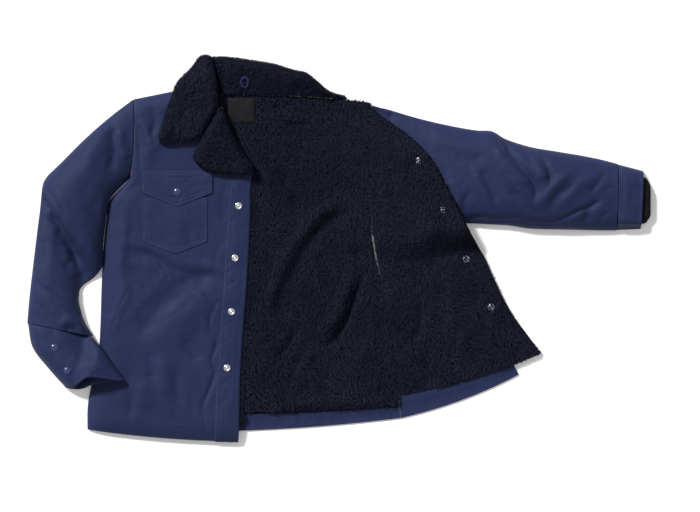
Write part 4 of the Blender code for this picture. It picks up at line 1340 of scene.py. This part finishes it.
    def studs(self, surface: Surface) -> None:
        """The open ring studs of the placket, each a rolled ring round a sunk middle with a small post."""
        profile = ((7.0, 0.0), (7.1, 0.7), (6.8, 1.3), (6.2, 1.8), (5.5, 2.0), (4.7, 1.9), (4.0, 1.4), (3.6, 0.7))
        profile += ((2.6, 0.6), (2.0, 0.9), (1.7, 1.9), (1.2, 2.5), (0.0, 2.7))
        for number, (x, y) in enumerate(self.placket_snaps, 1):
            floor = float(surface.height(np.array(x), np.array(y))) + SEAM_GAP + THIN_CLOTH
            piece = turned(profile, (x, y), floor)
            piece.put(f"placket_stud_{number}", SnapMetal(), "metal", (f"placket_snap_{number}",))

    @staticmethod
    def cap(name: str, centre: tuple, floor: float, node: str) -> None:
        """A domed enamel cap with a rolled rim."""
        profile = ((7.5, 0.0), (7.6, 0.5), (7.3, 1.0), (6.7, 1.3), (6.2, 1.2), (5.4, 1.6), (3.8, 2.2))
        profile += ((1.8, 2.55), (0.0, 2.65))
        turned(profile, centre, floor + 0.1).put(name, SnapEnamel(), "enamel", (node,))


def turned(profile: tuple, centre: tuple, floor: float, segments: int = 40) -> Mesh:
    """A round piece.

    Args:
        profile: rows of radius and height, from the foot to the middle.
        centre: of its axis.
        floor: the height of its foot.
        segments: round it.

    Returns:
        The mesh.
    """
    radius, height = np.asarray(profile, float).T
    radius = np.maximum(radius, 0.02)
    angle = np.linspace(0.0, 2 * math.pi, segments, endpoint=False)
    x = centre[0] + radius[:, None] * np.cos(angle)
    y = centre[1] + radius[:, None] * np.sin(angle)
    rings = np.stack([x, y, np.broadcast_to((floor + height)[:, None], x.shape)], axis=2)
    number = np.arange(rings.shape[0] * segments).reshape(-1, segments)
    after = np.roll(number, -1, axis=1)
    wall = np.stack([number[:-1], after[:-1], after[1:], number[1:]], axis=2).reshape(-1, 4)
    points = np.concatenate([rings.reshape(-1, 3), [[*centre, floor], [*centre, floor + height[-1]]]])
    foot, head = len(points) - 2, len(points) - 1
    low = np.stack([after[0], number[0], np.full(segments, foot)], axis=1)
    top = np.stack([number[-1], after[-1], np.full(segments, head)], axis=1)
    return Mesh(points, wall, np.concatenate([low, top]))


@dataclass
class Back:
    """The back: shell on the floor, lining with its folds, turned hem and the bare neck label."""

    step: float = 4.8
    folds: tuple = (
        Crease(13, 7.5, ((12, 94), (-36, 70), (-74, 30), (-102, -10), (-124, -58), (-144, -124))),
        Crease(13, -5.0, ((20, 74), (-22, 50), (-56, 12), (-82, -28), (-104, -78))),
        Crease(9, -8.0, ((46, -54), (34, -94), (18, -138), (0, -172), (-20, -192))),
        Crease(13, 6.5, ((28, -46), (14, -90), (-2, -134), (-26, -170)), -2.0),
        Crease(9, -5.0, ((-84, -162), (-104, -196), (-120, -222))),
        Crease(9, -4.0, ((-70, -212), (-94, -256), (-100, -282))),
        Crease(12, 4.0, ((-54, -200), (-76, -250), (-84, -284))),
        Crease(10, 5.0, ((-188, -338), (-120, -322), (4, -306), (88, -306))),
        Crease(7, -4.5, ((-132, 282), (-92, 276), (-70, 262))),
        Crease(7, -3.5, ((-104, 246), (-64, 250))),
        Crease(9, 4.0, ((-128, 270), (-92, 262), (-66, 254))),
        Crease(18, 3.0, ((-160, 180), (-150, 100), (-160, 20))),
        Crease(16, 3.0, ((-60, 200), (-20, 160), (30, 140))),
        Crease(14, -3.0, ((-120, 150), (-90, 110), (-84, 70))),
        Crease(12, -3.0, ((30, 60), (44, 10), (40, -30))),
        Crease(16, 3.5, ((58, -60), (66, -120), (60, -180), (40, -240))),
        Crease(12, -3.0, ((-20, -230), (-30, -270), (-24, -296))),
    )

    def build(self, sewing: Stitching) -> Surface:
        """Builds the back.

        Args:
            sewing: takes the hem's stitches.

        Returns:
            The lining's outer side.
        """
        plan = Plan(BACK, 7.0)
        wrinkles = np.abs(Ripple(31, 60.0).at(plan.x, plan.y)) * smoothstep(plan.edge() / 40.0)
        under = plan.at(1.1 * wrinkles * (wrinkles > 0.35))
        outer = plan.at(CLOTH)
        piece = slab(under, outer, worn(plan)).put("back_panel", ShellCloth(), "shell", ("back_shell",))
        declare_sheet(piece, outer)
        surface = self.lining()
        self.hem(sewing)
        self.label(surface)
        return surface

    def lining(self) -> Surface:
        """The back's pile: the ground, and tufts where it is seen."""
        plan = Plan(BACK, self.step)
        keep = plan.end[:, 0] >= HEM_DEPTH - 1.0
        columns = slice(4, None)
        plan.x = plan.x - 6.0 * np.exp(-plan.start / 9.0) * np.exp(-plan.right / 9.0)
        shown = smoothstep((plan.x + 158.0) / 30.0)
        edge = 0.6 + 0.4 * rounded(plan.end - HEM_DEPTH + 2.0, 12.0)
        rise = 9.5 * smoothstep((plan.x + 10.0) / 74.0) * smoothstep((plan.y + 20.0) / 70.0)
        top = FRONT_FLOOR + PILE * edge + shown * (folded(self.folds, plan.x, plan.y) + rise)
        lumps = 0.9 * Ripple(33, 8.0).at(plan.x, plan.y) + 0.8 * Ripple(34, 17.0).at(plan.x, plan.y)
        surface = plan.at(top + shown * lumps - 1.4 * shown)[keep, columns]
        base = surface.copy()
        base[:, :, 2] = FRONT_FLOOR
        ground = slab(base, surface).put("back_lining", PileGround(), "pile", ("lining_back",))
        middle = (surface[:-1, :-1] + surface[1:, 1:]) / 2.0
        front_x = np.interp(-middle[:, :, 1], [-328, -240, -158, 96, 274, 386], [-254, -222, -176, -187, -199, -202])
        seen = middle[:, :, 0] > front_x - 22.0
        upper = middle[:, :, 1] > -20.0
        for number, half in enumerate((upper, ~upper), 1):
            nap = Nap(seed=40 + number, spacing=2.55, lie=-1.5, length=8.5, lift=2.7)
            nap.put(f"nap_back_{number}", nap.cover(surface, seen & half))
        declare_sheet(ground, surface)
        return Surface(surface)

    def hem(self, sewing: Stitching) -> None:
        """The shell turned up over the lining's lower edge, stitched along its top."""
        plan = Plan(BACK, 3.0)
        first = np.argmax(plan.end[:, 0] <= HEM_DEPTH + 1.5)
        part = slice(first, None)
        x, y, end, right = plan.x[part, 4:], plan.y[part, 4:], plan.end[part, 4:], plan.right[part, 4:]
        rows = end.max() - end
        edge = np.minimum(np.minimum(rows, end), right)
        pucker = 0.7 * Ripple(35, 9.0).at(x, y * 0.6) + 0.9 * Ripple(36, 34.0).at(x, y)
        groove = -0.5 * np.exp(-(((rows - 4.0) / 1.5) ** 2))
        thick = THIN_CLOTH * (0.4 + 0.6 * rounded(edge, 2.4)) + np.maximum(pucker + groove, -0.6) * smoothstep(edge / 6.0)
        under = np.stack([x, y, np.full(x.shape, FRONT_FLOOR)], axis=2)
        swell = 3.0 * np.exp(-((rows / 9.0) ** 2))
        outer = raised(under, thick + 0.3 + swell)
        piece = slab(under, outer, np.exp(-edge / 5.0)).put("back_hem", ShellCloth(), "shell", ("hem_back",))
        declare_sheet(piece, outer)
        surface = Surface(outer)
        line = outer[1 + np.argmax(rows[:, 0] >= 4.0), 4:-4:12, :2]
        sewing.row(surface, tuple(map(tuple, line)))

    def label(self, surface: Surface) -> None:
        """A bare black label, sewn down on the pile along its edges."""
        across, down = np.linspace(-222.0, -168.0, 28), np.linspace(300.0, 250.0, 26)
        x, y = np.meshgrid(across, down)
        height = surface.height(x, y)
        smooth = height.mean() * 0.7 + height * 0.3
        edge = np.minimum(np.minimum(x + 222.0, -168.0 - x), np.minimum(300.0 - y, y - 250.0))
        base = np.stack([x, y, smooth + 3.4 - 1.6 * np.exp(-edge / 4.0) + 0.5 * Ripple(37, 14.0).at(x, y)], axis=2)
        outer = raised(base, 0.8 * (0.5 + 0.5 * rounded(edge, 1.5)))
        piece = slab(base, outer).put("bare_label", LabelSatin(), "label", ("neck_label",))
        declare_sheet(piece, outer)


@dataclass
class LeftFront:
    """The open front, face down over the sleeve's root: shell, pile lining, turned hem and sunk sockets."""

    step: float = 4.6
    snaps: tuple = ((160, 174), (208, 76), (254, -22), (304, -118))
    folds: tuple = (
        Crease(11, -3.5, ((122, 26), (130, -4))),
        Crease(12, 4.5, ((98, -108), (102, -158), (148, -216))),
        Crease(11, -4.5, ((162, -108), (160, -158), (148, -188))),
        Crease(10, -4.0, ((176, -208), (176, -276))),
        Crease(13, -5.0, ((60, -108), (78, -144))),
        Crease(14, 3.0, ((120, 150), (160, 80), (190, 20))),
        Crease(12, -2.5, ((100, 120), (130, 70), (150, 20))),
        Crease(14, 3.0, ((210, -40), (230, -110), (220, -180))),
        Crease(12, -3.0, ((196, -60), (204, -120), (200, -170))),
        Crease(12, -3.0, ((270, -90), (286, -140), (290, -180))),
        Crease(12, 3.0, ((250, -160), (240, -220))),
    )

    def build(self, sewing: Stitching) -> None:
        """Builds the open front.

        Args:
            sewing: takes the hem's stitches.
        """
        plan = Plan(LEFT_FRONT, self.step)
        base = plan.at(self.cover(plan.x, plan.y))
        cloth_top = moved_out(base, CLOTH)
        columns = plan.right.min(axis=0) >= PILE_REACH - 1.0
        last = len(columns) - int(np.argmax(columns[::-1]))
        shell = slab(base[:, :last], cloth_top[:, :last])
        shell = shell.put("left_front", ShellCloth(), "shell", ("front_left_shell",))
        declare_sheet(shell, cloth_top[:, :last])
        surface = self.lining(plan, cloth_top)
        self.hem(plan, cloth_top[:, :last], sewing)
        profile = ((7.0, 0.0), (7.0, 0.9), (6.4, 1.5), (5.4, 1.6), (4.6, 1.2), (3.0, 1.1), (2.2, 1.6), (0.0, 1.7))
        for number, (x, y) in enumerate(self.snaps, 1):
            floor = float(surface.height(np.array(x), np.array(y))) - 0.6
            piece = turned(profile, (x, y), floor)
            piece.put(f"left_socket_{number}", SnapMetal(), "metal", (f"front_left_snap_{number}",))

    @staticmethod
    def cover(x: Array, y: Array) -> Array:
        """Height of the open front over the root of the sleeve: level on it, then sloping to the floor."""
        places = np.asarray(LEFT_SLEEVE, float)
        height = np.interp(x, places[:, 0], places[:, 5])
        lower_edge = np.interp(x, places[:, 2], places[:, 3])
        full = FRONT_FLOOR + height + CLOTH + 1.0
        return full * smoothstep((y - lower_edge + 62.0) / 58.0)

    def lining(self, plan: Plan, cloth_top: Array) -> Surface:
        """The pile that faces up on the open front, with a fringe along its free edge."""
        base = moved_out(cloth_top, SEAM_GAP)
        edge = 0.62 + 0.38 * rounded(plan.right, 16.0)
        hem_edge = 0.6 + 0.4 * rounded(plan.end - HEM_DEPTH + 2.0, 12.0)
        lumps = 0.9 * Ripple(43, 8.0).at(plan.x, plan.y) + 0.8 * Ripple(44, 17.0).at(plan.x, plan.y)
        folds = (folded(self.folds, plan.x, plan.y) + lumps) * rounded(plan.right, 30.0)
        top = raised(base, PILE * edge * hem_edge + folds - 1.2)
        top[:, :, 0] -= 3.0 * (1.0 - rounded(plan.right, 8.0)) + 0.7 * np.exp(-plan.left / 3.0)
        keep = plan.end[:, 0] >= HEM_DEPTH - 1.0
        ground = slab(base[keep], top[keep]).put("left_front_lining", PileGround(), "pile", ("lining_front_left",))
        nap = Nap(seed=50, spacing=2.55, lie=-1.2, length=8.5, lift=2.7)
        tufts = nap.put("nap_left_front", nap.cover(top[keep]))
        fringe = nap.put("nap_left_fringe", nap.fringe(base[keep], top[keep], 2.5))
        declare_sheet(ground, top[keep])
        return Surface(top)

    def hem(self, plan: Plan, cloth_top: Array, sewing: Stitching) -> None:
        """The shell turned up over the lining's lower edge, stitched along its top."""
        first = np.argmax(plan.end[:, 0] <= HEM_DEPTH + 1.5)
        last = cloth_top.shape[1]
        part = cloth_top[first:]
        end, right, left = plan.end[first:, :last], plan.right[first:, :last] - PILE_REACH, plan.left[first:, :last]
        rows = end.max() - end
        edge = np.minimum(np.minimum(rows, end), np.minimum(right + 0.5, left))
        pucker = 0.7 * Ripple(45, 9.0).at(part[:, :, 0], part[:, :, 1] * 0.6)
        pucker = pucker + 0.9 * Ripple(46, 34.0).at(part[:, :, 0], part[:, :, 1])
        groove = -0.5 * np.exp(-(((rows - 4.0) / 1.5) ** 2))
        thick = THIN_CLOTH * (0.4 + 0.6 * rounded(edge, 2.4)) + np.maximum(pucker + groove, -0.6) * smoothstep(edge / 6.0)
        under = moved_out(part, SEAM_GAP)
        outer = raised(under, thick + 0.3 + 3.0 * np.exp(-((rows / 9.0) ** 2)))
        piece = slab(under, outer, np.exp(-np.maximum(edge, 0) / 5.0))
        piece = piece.put("left_front_hem", ShellCloth(), "shell", ("hem_front_left",))
        declare_sheet(piece, outer)
        line = outer[1 + np.argmax(rows[:, 0] >= 4.0), 4:-4:12, :2]
        sewing.row(Surface(outer), tuple(map(tuple, line)))


@dataclass
class Sleeve:
    """A sleeve: its under panel on the floor, and its upper panel arched over it with the arm's folds."""

    side: Side
    sections: tuple
    creases: tuple
    step: float = 3.0
    rounding: float = 0.41

    def build(self) -> Surface:
        """Builds both panels.

        Returns:
            The upper panel's outer side.
        """
        plan = Plan(self.sections, self.step)
        reach = (plan.left + plan.right) * self.rounding
        arch = FRONT_FLOOR + plan.height * rounded(plan.left, reach) * rounded(plan.right, reach)
        calm = rounded(plan.left, 22.0) * rounded(plan.right, 22.0) * (0.25 + 0.75 * rounded(plan.end, 20.0))
        ripple = 0.6 * Ripple(13, 34.0).at(plan.x, plan.y) + 0.22 * Ripple(14, 10.0).at(plan.x, plan.y)
        under = plan.at(arch + calm * (folded(self.creases, plan.x, plan.y) + ripple))
        outer = moved_out(under, soft_edge(plan, CLOTH))
        side = self.side.value
        upper = slab(under, outer, worn(plan)).put(
            f"{side}_sleeve_upper", ShellCloth(), "shell", (f"sleeve_{side}_upper",)
        )
        declare_sheet(upper, outer)
        coarse = Plan(self.sections, 7.0)
        wrinkles = np.abs(Ripple(15, 40.0).at(coarse.x, coarse.y)) * smoothstep(coarse.edge() / 30.0)
        low = slab(coarse.at(1.1 * wrinkles * (wrinkles > 0.35)), coarse.at(CLOTH), worn(coarse))
        under_panel = low.put(f"{side}_sleeve_under", ShellCloth(), "shell", (f"sleeve_{side}_under",))
        declare_sheet(under_panel, coarse.at(CLOTH))
        return Surface(outer)


RIGHT_SLEEVE_CREASES = (
    Crease(15, -9.0, ((-592, 128), (-564, 79), (-541, 30), (-525, -9), (-506, -42)), 5.0),
    Crease(18, -7.0, ((-534, 20), (-514, -40), (-508, -84))),
    Crease(9, 4.5, ((-438, 236), (-434, 204), (-424, 176))),
    Crease(12, -5.5, ((-450, 240), (-450, 196), (-456, 150))),
    Crease(6, -2.8, ((-600, -72), (-569, -93), (-539, -118), (-520, -138))),
    Crease(8, 4.0, ((-554, -160), (-543, -144), (-526, -146), (-506, -170))),
    Crease(6, -3.0, ((-546, -170), (-533, -160), (-520, -172))),
    Crease(18, 3.5, ((-470, 236), (-500, 178), (-512, 120))),
    Crease(15, -3.0, ((-520, 196), (-502, 116), (-488, 40))),
    Crease(14, 2.4, ((-604, 10), (-609, -60), (-612, -110))),
    Crease(10, -2.2, ((-586, 20), (-592, -40))),
    Crease(8, -2.4, ((-584, 142), (-560, 154), (-534, 158))),
    Crease(12, -2.6, ((-470, 128), (-482, 90), (-486, 50))),
    Crease(7, 2.2, ((-574, -120), (-560, -138), (-556, -158))),
    Crease(6, -1.8, ((-590, -110), (-574, -140))),
)
LEFT_SLEEVE_CREASES = (
    Crease(9, -7.0, ((326, 216), (343, 188), (365, 160), (388, 132), (395, 111), (389, 94)), 2.5),
    Crease(10, 4.0, ((312, 206), (330, 176), (352, 148), (374, 122))),
    Crease(7, -4.5, ((400, 194), (410, 167), (420, 141), (420, 126))),
    Crease(9, 4.0, ((388, 186), (398, 160), (408, 134))),
    Crease(9, -5.0, ((286, 158), (300, 124), (316, 92))),
    Crease(9, 3.0, ((272, 150), (286, 116), (300, 88))),
    Crease(8, -4.5, ((340, 118), (365, 94), (386, 77), (401, 62))),
    Crease(10, 3.6, ((404, 92), (430, 126), (456, 146))),
    Crease(9, -2.6, ((414, 72), (440, 108), (470, 124))),
    Crease(10, 3.0, ((446, 88), (484, 130), (510, 142))),
    Crease(9, -4.5, ((516, 98), (498, 74), (493, 52))),
    Crease(6, -4.0, ((366, 60), (429, 56), (463, 69), (514, 92)), 1.5),
    Crease(6, -3.5, ((250, 58), (275, 64), (318, 62), (360, 64)), 1.5),
    Crease(11, 3.0, ((222, 136), (236, 104), (244, 74))),
    Crease(8, -2.6, ((262, 116), (250, 90), (244, 70))),
    Crease(9, -6.0, ((74, 280), (90, 268), (110, 262))),
    Crease(7, -2.0, ((530, 150), (512, 124), (500, 108))),
    Crease(16, 2.6, ((180, 226), (236, 206), (290, 200))),
    Crease(14, -2.2, ((232, 186), (262, 176), (288, 182))),
    Crease(5, -1.8, ((536, 70), (520, 62))),
    Crease(6, -1.6, ((545, 120), (524, 116))),
)


@dataclass
class Cuff:
    """A cuff band with its knit storm cuff inside."""

    side: Side
    band: tuple
    knit: tuple
    slope_from: float
    knit_floor: float
    wall: float = 3.0
    knit_wall: float = 2.5
    stations: int = 26
    around: int = 120
    ribs: int = 34
    mouth_axis: tuple = (0.54, -0.84)
    mouth_back: float = 18.0
    mouth_forward: float = 12.0

    def lies_at(self, x: Array, y: Array) -> Array:
        """Height of what the cuff lies on: the floor, and on the right the front's side edge."""
        if self.side is Side.LEFT:
            return np.zeros(x.shape)
        places = np.asarray(RIGHT_FRONT, float)[::-1]
        edge = np.interp(y, places[:, 1], places[:, 0])
        return 26.0 * smoothstep((x - edge + 38.0) / 46.0)

    def rings(self, rows: Array, inset: float, around: int, rib: float = 0.0) -> Array:
        """Flattened rings: level below, rounded above, and thinner past slope_from.

        Args:
            rows: one section for each ring.
            inset: how far the ring lies inside the band.
            around: points in a ring.
            rib: height of the knit's ribs.

        Returns:
            The rings' points.
        """
        start, end, height = rows[:, None, 0:2], rows[:, None, 2:4], rows[:, None, 5]
        width = np.linalg.norm(end - start, axis=2)
        top_count = around // 2 + 1
        top = 0.5 - 0.5 * np.cos(np.linspace(0.0, math.pi, top_count))
        low = 0.5 - 0.5 * np.cos(np.linspace(math.pi, 0.0, around - top_count + 2))[1:-1]
        part = np.concatenate([top, low])[None]
        upper = (np.arange(around) < top_count)[None]
        lean = 1.0 - 0.62 * smoothstep((part - self.slope_from) / (1.0 - self.slope_from))
        full = height * lean * rounded(part, 0.28) * rounded(1.0 - part, 0.16)
        held = inset / width + part * (1.0 - 2.0 * inset / width)
        plan = start + (end - start) * held[:, :, None]
        room = np.maximum(full - 2.0 * inset, 1.2 * rounded(part, 0.1) * rounded(1.0 - part, 0.1))
        wave = rib * np.cos(2 * math.pi * self.ribs * np.arange(around) / around)
        z = self.lies_at(plan[:, :, 0], plan[:, :, 1]) + inset + np.where(upper, room + wave, 0.0)
        return np.concatenate([plan, z[:, :, None]], axis=2)

    def slanted(self, rings: Array, rows: Array, share: Array) -> Array:
        """Draws each ring's top back along the sleeve and its under side forward, more towards the mouth."""
        low = rings[:, :, 2].min(axis=1, keepdims=True)
        height = (rings[:, :, 2] - low) / np.maximum(np.ptp(rings[:, :, 2], axis=1)[:, None], 1e-6)
        width = np.linalg.norm(rows[:, 2:4] - rows[:, 0:2], axis=1)[:, None]
        part = np.linalg.norm(rings[:, :, :2] - rows[:, None, 0:2], axis=2) / width
        bulge = 4.0 * part * (1.0 - part) * smoothstep((share - 0.6) / 0.4)[:, None]
        slid = rings.copy()
        move = bulge * (self.mouth_forward - (self.mouth_forward + self.mouth_back) * height)
        slid[:, :, :2] += move[:, :, None] * np.asarray(self.mouth_axis)
        return slid

    def build(self, sewing: Stitching) -> Surface:
        """Builds the band and the knit.

        Args:
            sewing: takes the band's stitches.

        Returns:
            The band's upper side.
        """
        side = self.side.value
        share = np.linspace(0.0, 1.0, self.stations)
        rows = through(self.band, share)
        outer, inner = self.rings(rows, 0.0, self.around), self.rings(rows, self.wall, self.around)
        upper = np.arange(self.around) < self.around // 2 + 1
        x, y = outer[:, :, 0], outer[:, :, 1]
        length = length_of(self.band)
        seam = share[:, None] * length
        groove = -0.7 * sum(np.exp(-(((seam - at) / 1.8) ** 2)) for at in (5.0, 10.0, length - 5.0))
        pucker = 0.8 * Ripple(19, 11.0).at(x, y) + 0.7 * Ripple(20, 26.0).at(x, y)
        place = np.arange(self.around)
        fade = rounded(place / 12.0, 1.0) * rounded((self.around // 2 - place) / 10.0, 1.0)
        outer[:, :, 2] += np.where(upper, (pucker + groove) * fade * smoothstep(seam / 4.0), 0.0)
        if self.side is Side.RIGHT:
            outer, inner = self.slanted(outer, rows, share), self.slanted(inner, rows, share)
        mesh = tube(outer, inner)
        rim = np.exp(-np.minimum(seam, length - seam) / 4.0) + np.zeros((1, self.around))
        mesh.numbers = ("wear", np.concatenate([rim.ravel(), rim.ravel()]))
        piece = mesh.put(f"{side}_cuff", ShellCloth(), "shell", (f"cuff_{side}",))
        loop = np.concatenate([outer, outer[:, :1]], axis=1)
        declare_sheet(piece, loop)
        surface = Surface(outer[:, : self.around // 2 + 1])
        first, last = 6, self.around // 2 - 5
        for at in (5.0, 10.0, length - 5.0):
            station = int(round(at / length * (self.stations - 1)))
            line = outer[station, first:last:6, :2]
            sewing.row(surface, tuple(map(tuple, line)))
        self.storm_cuff(side)
        return surface

    def storm_cuff(self, side: str) -> None:
        """The ribbed knit inside the band."""
        rows = through(self.knit, np.linspace(0.0, 1.0, 14))
        around = self.ribs * 8
        outer = raised(self.rings(rows, 0.0, around, 0.55), self.knit_floor)
        inner = raised(self.rings(rows, self.knit_wall, around, 0.0), self.knit_floor)
        piece = tube(outer, inner).put(f"{side}_storm_cuff", KnitRib(), "knit", (f"knit_cuff_{side}",))
        declare_sheet(piece, np.concatenate([outer, outer[:, :1]], axis=1))


@dataclass
class Collar:
    """The pile collar: the stand along the neck, the leaf folded over on the right, the lapel and the loop."""

    step: float = 2.6
    edge_inset: float = 3.0

    def build(self) -> None:
        """Builds every piece of the collar."""
        self.stand()
        self.leaf()
        self.lapel()

    def shell_under(self, table: tuple, floor: float, name: str, node: str, inset: float) -> None:
        """The plain cloth under a piece of the collar."""
        plan = Plan(table, 6.0, inset)
        outer = plan.at(floor + THIN_CLOTH)
        piece = slab(plan.at(floor), outer, worn(plan)).put(name, ShellCloth(), "shell", (node,))
        declare_sheet(piece, outer)

    def pile_piece(self, name: str, node: str, base: Array, top: Array, nap: Nap) -> None:
        """Ground, tufts and fringe of one piece."""
        ground = slab(base, top).put(name, PileGround(), "pile", (node,))
        tufts = nap.put(f"nap_{name}", nap.cover(top))
        fringe = nap.put(f"nap_{name}_fringe", nap.fringe(base, top, 3.5, 4))
        declare_sheet(ground, top)

    def stand(self) -> None:
        """The part along the back of the neck, standing over its own cloth, with the hanger loop on it."""
        self.shell_under(COLLAR_BACK, 0.0, "collar_cloth", "under_collar_back", 2.0)
        plan = Plan(COLLAR_BACK, self.step).drawn_in(self.edge_inset)
        share = plan.left / (plan.left + plan.right)
        thick = 12.0 + 12.0 * (1.0 - share)
        ends = rounded(plan.start, 14.0) * rounded(plan.end, 60.0)
        lumps = 1.1 * Ripple(53, 8.0).at(plan.x, plan.y) + 1.2 * Ripple(54, 18.0).at(plan.x, plan.y)
        top = THIN_CLOTH + SEAM_GAP + 4.0 + (thick - 1.5) * rounded(plan.left, 16.0) * ends
        top = top + lumps * rounded(plan.edge(), 8.0)
        surface = plan.at(top)
        nap = Nap(seed=70, spacing=2.3, lie=1.2, length=9.5, lift=3.2, swirl=1.2)
        self.pile_piece("collar_stand", "collar_back", plan.at(THIN_CLOTH + SEAM_GAP), surface, nap)
        self.hanger_loop(Surface(surface))

    def hanger_loop(self, surface: Surface) -> None:
        """A narrow band of shell cloth, sewn in at the neck, that lies open as an oval over the pile."""
        angle = np.linspace(0.0, 2 * math.pi, 72, endpoint=False)
        share = np.linspace(0.0, 1.0, 9)[:, None]
        x = -188.0 + (4.5 + 4.5 * share) * np.cos(angle)
        y = 330.0 + (7.5 + 4.5 * share) * np.sin(angle)
        lifted = 1.2 + 2.4 * (1.0 + np.sin(angle)) + 0.0 * share
        rest = surface.height(x, y)
        base = np.stack([x, y, rest * 0.4 + float(rest.mean()) * 0.6 + lifted], axis=2)
        outer = raised(base, THIN_CLOTH * (0.5 + 0.5 * rounded(np.minimum(share, 1.0 - share) * 4.5, 1.2)))
        piece = tube(outer, base).put("neck_loop", ShellCloth(), "shell", ("hanger_loop",))

    def leaf(self) -> None:
        """The leaf: pile side up, with the roll along its inner edge."""
        plan = Plan(COLLAR_LEAF, self.step).drawn_in(self.edge_inset, self.edge_inset)
        floor = LEAF_FLOOR - (LEAF_FLOOR - 4.0) * smoothstep((plan.y - 324.0) / 26.0)
        roll = np.clip(1.0 - plan.right / 60.0, 0.0, 1.0) * smoothstep((plan.y - 225.0) / 50.0)
        crown = 5.0 + (6.5 + 7.0 * roll) * rounded(plan.left, 14.0) * rounded(plan.right, 14.0)
        crown = crown * rounded(plan.end + 3.0, 16.0)
        lumps = 1.1 * Ripple(55, 8.0).at(plan.x, plan.y) + 1.4 * Ripple(56, 22.0).at(plan.x, plan.y)
        top = LEAF_FLOOR + crown - 10.0 * smoothstep((plan.y - 330.0) / 50.0) + lumps * rounded(plan.edge(), 8.0)
        nap = Nap(seed=80, spacing=2.3, lie=-2.0, length=9.0, lift=3.0, swirl=1.1)
        self.pile_piece("collar_leaf", "collar_leaf_right", plan.at(floor), plan.at(top), nap)
        cloth = tuple(row for row in COLLAR_LEAF if row[1] < 310.0)
        self.shell_under(cloth, COLLAR_FLOOR, "leaf_cloth", "under_collar_leaf", 5.0)

    def lapel(self) -> None:
        """The lapel: the front's own pile facing, turned out."""
        plan = Plan(LAPEL, self.step).drawn_in(self.edge_inset, self.edge_inset)
        crown = 5.0 + 8.0 * rounded(plan.left, 14.0) * rounded(plan.right, 12.0)
        crown = crown * rounded(plan.end + 3.0, 16.0)
        lumps = 1.3 * Ripple(57, 7.0).at(plan.x, plan.y) + 1.2 * Ripple(58, 16.0).at(plan.x, plan.y)
        top = LEAF_FLOOR + crown + lumps * rounded(plan.edge(), 8.0)
        nap = Nap(seed=90, spacing=2.2, lie=-1.7, length=8.5, lift=3.0, swirl=1.6)
        self.pile_piece("lapel", "lapel_right", plan.at(LEAF_FLOOR), plan.at(top), nap)
        self.shell_under(LAPEL[1:], COLLAR_FLOOR, "lapel_cloth", "under_lapel_right", 5.0)


@dataclass
class Studio:
    """A white floor, soft light with a key from the upper left, and a camera straight above."""

    width: float = 1.4
    centre: tuple = (0.02295, -0.01315)
    distance: float = 7.0
    key_strength: float = 4.4
    sky_strength: float = 0.5

    def build(self) -> None:
        """Builds the stage, the lights and the camera."""
        scene = bpy.context.scene
        scene.view_settings.view_transform = "Standard"
        side = 6.0
        corners = np.array([[-side, -side], [side, -side], [side, side], [-side, side]]) / MM
        points = np.column_stack([corners, np.full(4, -0.3)])
        mesh = bpy.data.meshes.new("floor")
        mesh.from_pydata([tuple(point * MM) for point in points], [], [(0, 1, 2, 3)])
        mesh.materials.append(FINISHES.of(PaleFloor()))
        floor = bpy.data.objects.new("floor", mesh)
        scene.collection.objects.link(floor)

        world = bpy.data.worlds.new("soft_sky")
        world.use_nodes = True
        background = world.node_tree.nodes["Background"]
        background.inputs["Color"].default_value = (1.0, 1.0, 1.0, 1.0)
        background.inputs["Strength"].default_value = self.sky_strength
        scene.world = world

        key = bpy.data.lights.new("key", "SUN")
        key.energy, key.angle = self.key_strength, math.radians(9.0)
        lamp = bpy.data.objects.new("key", key)
        lamp.rotation_euler = (math.radians(-34.0), math.radians(-40.0), 0.0)
        scene.collection.objects.link(lamp)

        data = bpy.data.cameras.new("above")
        data.sensor_width = 36.0
        data.lens = 36.0 * self.distance / self.width
        data.clip_end = 50.0
        camera = bpy.data.objects.new("above", data)
        camera.location = (*self.centre, self.distance)
        scene.collection.objects.link(camera)
        scene.camera = camera


def main() -> None:
    """Builds the jacket piece by piece, then the studio."""
    logging.basicConfig(level=logging.INFO, format="%(message)s")
    Studio().build()
    sewing = Stitching()
    front = RightFront()
    front.build(sewing)
    Back().build(sewing)
    Sleeve(Side.RIGHT, RIGHT_SLEEVE, RIGHT_SLEEVE_CREASES).build()
    Sleeve(Side.LEFT, LEFT_SLEEVE, LEFT_SLEEVE_CREASES).build()
    LeftFront().build(sewing)
    Collar().build()
    band = Cuff(Side.RIGHT, RIGHT_CUFF, RIGHT_KNIT, 0.45, 6.6).build(sewing)
    Cuff(Side.LEFT, LEFT_CUFF, LEFT_KNIT, 0.9, 3.6).build(sewing)
    for number, centre in enumerate(((-566, -198), (-540, -244)), 1):
        floor = float(band.height(*map(np.array, centre)))
        front.cap(f"cuff_cap_{number}", centre, floor, f"cuff_snap_{number}")
    sewing.put("stitches")
    LOG.info("all pieces are built")


if __name__ == "__main__":
    main()
